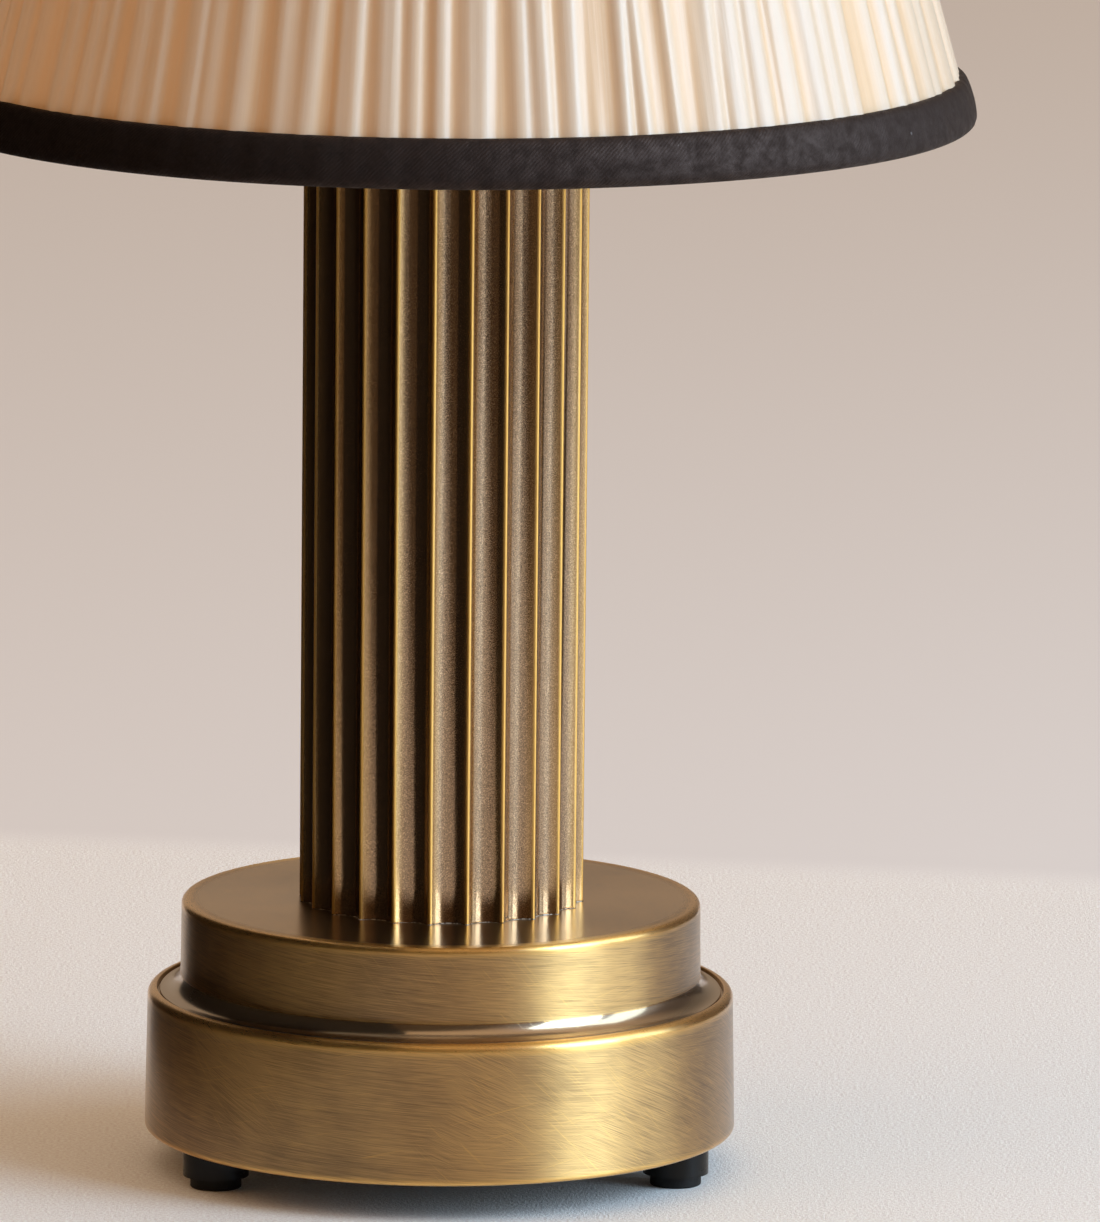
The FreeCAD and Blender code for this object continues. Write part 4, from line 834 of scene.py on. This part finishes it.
def gather_relief(bearing, share, settings):
    """Height of the gathers, 0 in a fold and 1 on a crest, at bearings and shares of the shade's height.

    It is 1 - exp(-1.25 s), where s sums a ridge exp(-(d / w) squared) for each gather: d is the way round to
    the ridge's line, which leans and wanders with height, and w is short on the side to which the gather has
    been laid, mostly the right, and long on the other. Between them are as many slighter ridges, which grow
    or die along their lines, so that neighbours merge.
    """
    random = np.random.default_rng(settings.seed)
    relief = np.zeros((len(share), len(bearing)))
    pitch = TURN / settings.gathers
    for size, steady in ((1.0, True), (0.35, False)):
        count = settings.gathers
        line = (np.arange(count) + random.uniform(-0.30, 0.30, count) + (0 if steady else 0.5)) * pitch
        lean = random.normal(0, 0.16, count) * pitch
        sway = random.uniform(0.02, 0.12, count) * pitch
        waves = random.uniform(0.5, 1.3, count)
        phase = random.uniform(0, TURN, count)
        near = random.uniform(0.17, 0.32, count) * pitch
        far = random.uniform(0.20, 0.40, count) * pitch * (1 if steady else 0.6)
        laid_left = random.uniform(0, 1, count) < 0.12
        left = np.where(laid_left, near, far)
        right = np.where(laid_left, far, near)
        tall = size * random.uniform(0.75, 1.5, count)
        birth = random.uniform(-0.6, 0.9, count)
        grows = random.choice([-1.0, 1.0], count)
        t = share[:, None]
        centre = line + lean * (t - 0.3) + sway * np.sin(TURN * waves * t + phase)
        strength = tall * np.ones_like(centre)
        if not steady:
            strength = tall / (1 + np.exp(-grows * (t - birth) * 14))
        for row in range(len(share)):
            away = bearing[:, None] - centre[row]
            away = (away + math.pi) % TURN - math.pi
            width = np.where(away < 0, left, right)
            relief[row] += (strength[row] * np.exp(-(away / width) ** 2)).sum(1)
    return 1 - np.exp(-1.25 * relief)


class LAMP_OT_shade_cloth(bpy.types.Operator):
    """Gathered cream cloth, stretched between the two rings of the shade"""
    bl_idname = "lamp.shade_cloth"
    bl_label = "Shade cloth"

    def execute(self, context):
        cloth = context.scene.lamp.cloth
        foot, slope, low, high = shade_line("shade_fabric")
        steps = 30 * cloth.gathers
        bearing = np.arange(steps) * TURN / steps
        share = np.linspace(0, 1, 17)
        relief = gather_relief(bearing, share, cloth)
        level = low + (high - low) * share[:, None]
        proud = 0.35 * MM
        outer = foot - (level - low) * slope + proud - cloth.depth * (1 - relief)
        climbing = np.roll(relief, -1, 1) - np.roll(relief, 1, 1)
        # The fold and crease marks say where painted shade goes: the folds between the gathers and the steep
        # sides of the gathers.
        piece = two_skins("shade_gathered_cloth", outer, cloth.thickness, bearing, level, foot, slope,
                          fold=1 - relief, crease=np.clip(climbing / 0.3, 0, 1))
        finish(piece, gathered_cloth(cloth, "cream_gathered_cloth"), "shade", "cream_cloth", "shade_fabric")
        edge = around(outer[0], bearing, low)
        return {"FINISHED"}


class LAMP_OT_shade_lining(bpy.types.Operator):
    """Smooth inner cone of plain cloth"""
    bl_idname = "lamp.shade_lining"
    bl_label = "Shade lining"

    def execute(self, context):
        foot, slope, low, high = shade_line("shade_lining")
        bearing = np.arange(360) * TURN / 360
        level = np.linspace(low, high, 10)[:, None]
        outer = foot - (level - low) * slope
        piece = two_skins("shade_lining_cloth", outer, 0.5 * MM, bearing, level, foot, slope)
        weave = plain_cloth("lining_plain_weave", (0.86, 0.80, 0.70))
        finish(piece, weave, "shade", "lining_cloth", "shade_lining")
        return {"FINISHED"}


def binding_loop(steps, sides):
    """Closed outline of a binding's section: an evenly spaced polygon, rounded by a moving mean."""
    corners = np.array(sides + sides[:1])
    lengths = np.linalg.norm(np.diff(corners, axis=0), axis=1)
    travel = np.append(0, np.cumsum(lengths))
    at = np.arange(steps) * travel[-1] / steps
    loop = np.stack([np.interp(at, travel, corners[:, k]) for k in (0, 1)], -1)
    for _ in range(3):
        loop = (np.roll(loop, 1, 0) + 2 * loop + np.roll(loop, -1, 0)) / 4
    return loop, travel[-1]


def binding(name, node, outward, material):
    """Soft bias strip folded over an edge of the shade; outward is -1 at the foot and 1 at the head.

    Its section is a swollen face over the cloth, a roll over the edge and a flat inner leg. Along the strip
    the face swells and sinks a little as the gathers press under it: three sines of the bearing.
    """
    foot, slope, low, high = shade_line("shade_fabric")
    edge = low if outward < 0 else high
    face = 10.6 * MM
    leg = 7.8 * MM
    lie = 6.3 * MM
    wrap = 0.85 * MM
    fold = 0.9 * MM
    gap = 0.1 * MM

    def cone(level):
        return foot - (level - low) * slope

    def point(depth, rise):
        """A point at a depth under the cloth's crests and a rise from the edge into the shade."""
        level = edge - outward * rise
        return [cone(level) - depth, level]

    shares = np.linspace(1.0, 0.05, 14)
    swollen = [point(-(1 + math.sin(math.pi * t) ** 0.6) * MM, t * face) for t in shares]
    sides = [point(fold, face + 0.3 * MM), *swollen, point(0.2 * MM, -wrap), point(lie, -wrap),
             point(lie, leg), point(lie - fold, leg), point(lie - fold, gap), point(fold, gap)]
    steps = 84
    loop, girth = binding_loop(steps, sides)
    bearing = np.arange(900) * TURN / 900
    waves = ((0.10, 23, 0.7), (0.07, 57, 2.1), (0.05, 101, 0.0))
    swell = sum(size * MM * np.sin(count * bearing + phase) for size, count, phase in waves)
    proud = np.clip((loop[:, 0] - cone(loop[:, 1])) / (1.9 * MM), 0, 1)
    points = around(loop[:, :1] + swell[None] * proud[:, None], bearing[None], loop[:, 1:])
    uv = np.stack(np.meshgrid(np.append(bearing, TURN) * foot, np.arange(steps + 1) * girth / steps), -1)
    finish(surface(name, points, uv), material, "shade", "black_binding", node)


class LAMP_OT_bindings(bpy.types.Operator):
    """Soft black binding over both edges of the shade"""
    bl_idname = "lamp.bindings"
    bl_label = "Bindings"

    def execute(self, context):
        material = binding_cloth(context.scene.lamp.cloth, "black_soft_binding")
        binding("shade_lower_binding", "shade_bottom_trim", -1, material)
        binding("shade_upper_binding", "shade_top_trim", 1, material)
        return {"FINISHED"}


class LAMP_OT_shade_frame(bpy.types.Operator):
    """White coated wires of the shade's frame"""
    bl_idname = "lamp.shade_frame"
    bl_label = "Shade frame"

    def execute(self, context):
        white = moulded("white_coated_wire", (0.84, 0.82, 0.77), 0.38, 1500.0, 0.03)
        dress(white, "shade_bottom_ring", "shade_top_ring", "shade_struts", "shade_spider")
        return {"FINISHED"}


# Stage

# Light all round at the level of the lamp: bearing in degrees, clockwise from the front, and colour
ALL_ROUND = (
    (-180, (0.36, 0.27, 0.19)), (-160, (0.42, 0.33, 0.25)), (-140, (0.03, 0.016, 0.008)),
    (-100, (0.06, 0.030, 0.012)), (-70, (0.08, 0.044, 0.020)), (-20, (0.13, 0.080, 0.042)),
    (22, (0.16, 0.105, 0.062)), (42, (0.38, 0.345, 0.32)), (84, (0.58, 0.57, 0.57)),
    (106, (0.46, 0.43, 0.40)), (120, (0.16, 0.12, 0.09)), (136, (0.13, 0.10, 0.08)),
    (156, (0.20, 0.16, 0.12)), (180, (0.36, 0.27, 0.19)))

# Soft lights: name, bearing in degrees, distance, height, size and the level that they are aimed at
LIGHTS = (
    ("key", 62, 2.5, 1.25, (1.3, 2.0), 0.15),
    ("side", 92, 2.5, 1.25, (1.0, 2.0), 0.15),
    ("fill", -68, 1.6, 1.15, (1.4, 1.2), 0.2))

# Upright cards round the lamp that only the metal mirrors: name, two ends, height and colour
CARDS = (
    ("left_card", (-0.13, 0.14), (-0.20, -0.55), 1.0, (0.03, 0.02, 0.013)),
    ("corner_card", (-0.20, -0.55), (0.38, -0.94), 0.8, (0.13, 0.085, 0.05)),
    ("front_card", (0.38, -0.94), (1.20, -0.94), 0.12, (0.09, 0.06, 0.04)),
    ("right_card", (1.20, -0.94), (1.20, 0.60), 0.09, (0.50, 0.40, 0.31)),
    ("rear_card", (2.0, 0.07), (0.20, 0.34), 0.10, (0.08, 0.055, 0.035)))


def stage_material(name, settings):
    """Pale grainy floor with a soft end behind the lamp, where the backdrop starts."""
    s = Shader(name)
    place = s.place()
    turned_place = s.stretch(place, (1.0, 1.0, 1.0), (0.0, 0.0, -settings.floor_turn))
    depth = s.add("ShaderNodeSeparateXYZ", turned_place).outputs[1]
    behind = s.ramp(depth, settings.floor_end - 0.01, settings.floor_end + 0.03)
    grain = s.noise(place, 1150.0, 3.0, 0.7)
    pale = s.mix(s.ramp(grain, 0.34, 0.66), shade_of(settings.floor, 0.82), shade_of(settings.floor, 1.08))
    s.set(Base_Color=s.mix(behind, pale, settings.backdrop), Roughness=s.between(behind, 0.5, 0.9),
          Specular_IOR_Level=0.7, Normal=s.bump(s.between(behind, grain, 0.5), 0.5 * MM, 0.8))
    return s.material


def dark_card(name, start, end, height, tint):
    """Upright card on the floor between two points, there only for what the metal mirrors."""
    mesh = bpy.data.meshes.new(name)
    mesh.from_pydata([(*start, 0), (*end, 0), (*end, height), (*start, height)], [], [(0, 1, 2, 3)])
    card = placed(name, mesh)
    s = Shader(name)
    s.set(Base_Color=rgba(tint), Roughness=1.0, Specular_IOR_Level=0.0)
    mesh.materials.append(s.material)
    for ray in ("camera", "diffuse", "shadow", "transmission"):
        setattr(card, f"visible_{ray}", False)


def soft_light(name, bearing, distance, height, size, aim, power, tint):
    """Rectangular light at a bearing and distance from the axis, turned towards a level on the axis."""
    data = bpy.data.lights.new(name, "AREA")
    data.shape = "RECTANGLE"
    data.size, data.size_y = size
    data.energy = power
    data.color = tint
    light = placed(name, data)
    place = Vector(around(distance, math.radians(bearing), height))
    light.location = place
    light.rotation_euler = (Vector((0, 0, aim)) - place).to_track_quat("-Z", "Y").to_euler()
    light.visible_camera = False
    light.visible_glossy = name != "fill"


def studio_world(settings):
    """Light all round: by bearing near the lamp's level, and the ceiling's above."""
    world = bpy.data.worlds.new("studio")
    world.use_nodes = True
    s = Nodes(world.node_tree)
    axes = s.add("ShaderNodeSeparateXYZ", s.add("ShaderNodeTexCoord").outputs["Generated"]).outputs
    bearing = s.math("ARCTAN2", axes[0], s.math("MULTIPLY", axes[1], -1.0))
    share = s.add("ShaderNodeMapRange", bearing, -math.pi, math.pi)
    level = s.add("ShaderNodeValToRGB", share.outputs[0])
    level.color_ramp.interpolation = "EASE"
    stops = level.color_ramp.elements
    while len(stops) < len(ALL_ROUND):
        stops.new(1.0)
    for stop, (degrees, light) in zip(stops, ALL_ROUND):
        stop.position = degrees / 360 + 0.5
        stop.color = (*light, 1.0)
    above = s.ramp(axes[2], 0.40, 0.90)
    light = s.mix(above, level.outputs[0], settings.ceiling)
    s.named(s.tree.nodes["Background"], Strength=settings.ambient, Color=light)
    bpy.context.scene.world = world


def photo_camera(view):
    """Camera before the lamp, turned by the yaw, tilted down by the pitch and leant by the roll."""
    data = bpy.data.cameras.new("camera")
    data.sensor_width = 36.0
    data.lens = view.lens
    data.clip_end = 50.0
    flat = math.cos(view.pitch)
    forward = Vector((math.sin(view.yaw) * flat, math.cos(view.yaw) * flat, -math.sin(view.pitch)))
    right = Vector((math.cos(view.yaw), -math.sin(view.yaw), 0))
    up = right.cross(forward)
    leant_right = right * math.cos(view.roll) + up * math.sin(view.roll)
    leant_up = up * math.cos(view.roll) - right * math.sin(view.roll)
    turn = Matrix((leant_right, leant_up, -forward)).transposed()
    camera = placed("camera", data)
    camera.matrix_world = Matrix.Translation((0, -view.distance, view.height)) @ turn.to_4x4()
    return camera


class LAMP_OT_stage(bpy.types.Operator):
    """Pale floor, backdrop, soft light and the photograph's camera"""
    bl_idname = "lamp.stage"
    bl_label = "Stage"

    def execute(self, context):
        scene = context.scene
        light = scene.lamp.light
        wide = 12.0
        corners = [(-wide, -wide, 0), (wide, -wide, 0), (wide, wide, 0), (-wide, wide, 0)]
        mesh = bpy.data.meshes.new("floor")
        mesh.from_pydata(corners, [], [(0, 1, 2, 3)])
        mesh.materials.append(stage_material("floor_and_backdrop", light))
        placed("floor", mesh)
        for name, *where in LIGHTS:
            tint = light.lamplight if name == "fill" else light.daylight
            soft_light(name, *where, getattr(light, name), tint)
        for card in CARDS:
            dark_card(*card)
        studio_world(light)
        scene.camera = photo_camera(scene.lamp.view)
        scene.view_settings.view_transform = "Standard"
        return {"FINISHED"}


class LAMP_PT_pieces(bpy.types.Panel):
    """Buttons that make the lamp's pieces one by one"""
    bl_idname = "LAMP_PT_pieces"
    bl_label = "Column table lamp"
    bl_space_type = "VIEW_3D"
    bl_region_type = "UI"
    bl_category = "Lamp"

    def draw(self, context):
        for operator in OPERATORS:
            self.layout.operator(operator.bl_idname)


OPERATORS = (LAMP_OT_stage, LAMP_OT_column, LAMP_OT_base, LAMP_OT_hardware, LAMP_OT_bulb, LAMP_OT_shade_cloth,
             LAMP_OT_shade_lining, LAMP_OT_bindings, LAMP_OT_shade_frame)
CLASSES = (LampBrass, LampTiers, LampColumn, LampCloth, LampLight, LampView, LampSettings, *OPERATORS,
           LAMP_PT_pieces)


def register():
    for item in CLASSES:
        bpy.utils.register_class(item)
    bpy.types.Scene.lamp = bpy.props.PointerProperty(type=LampSettings)


def unregister():
    del bpy.types.Scene.lamp
    for item in reversed(CLASSES):
        bpy.utils.unregister_class(item)


def main():
    register()
    for operator in OPERATORS:
        group, call = operator.bl_idname.split(".")
        getattr(getattr(bpy.ops, group), call)()


if __name__ == "__main__":
    main()
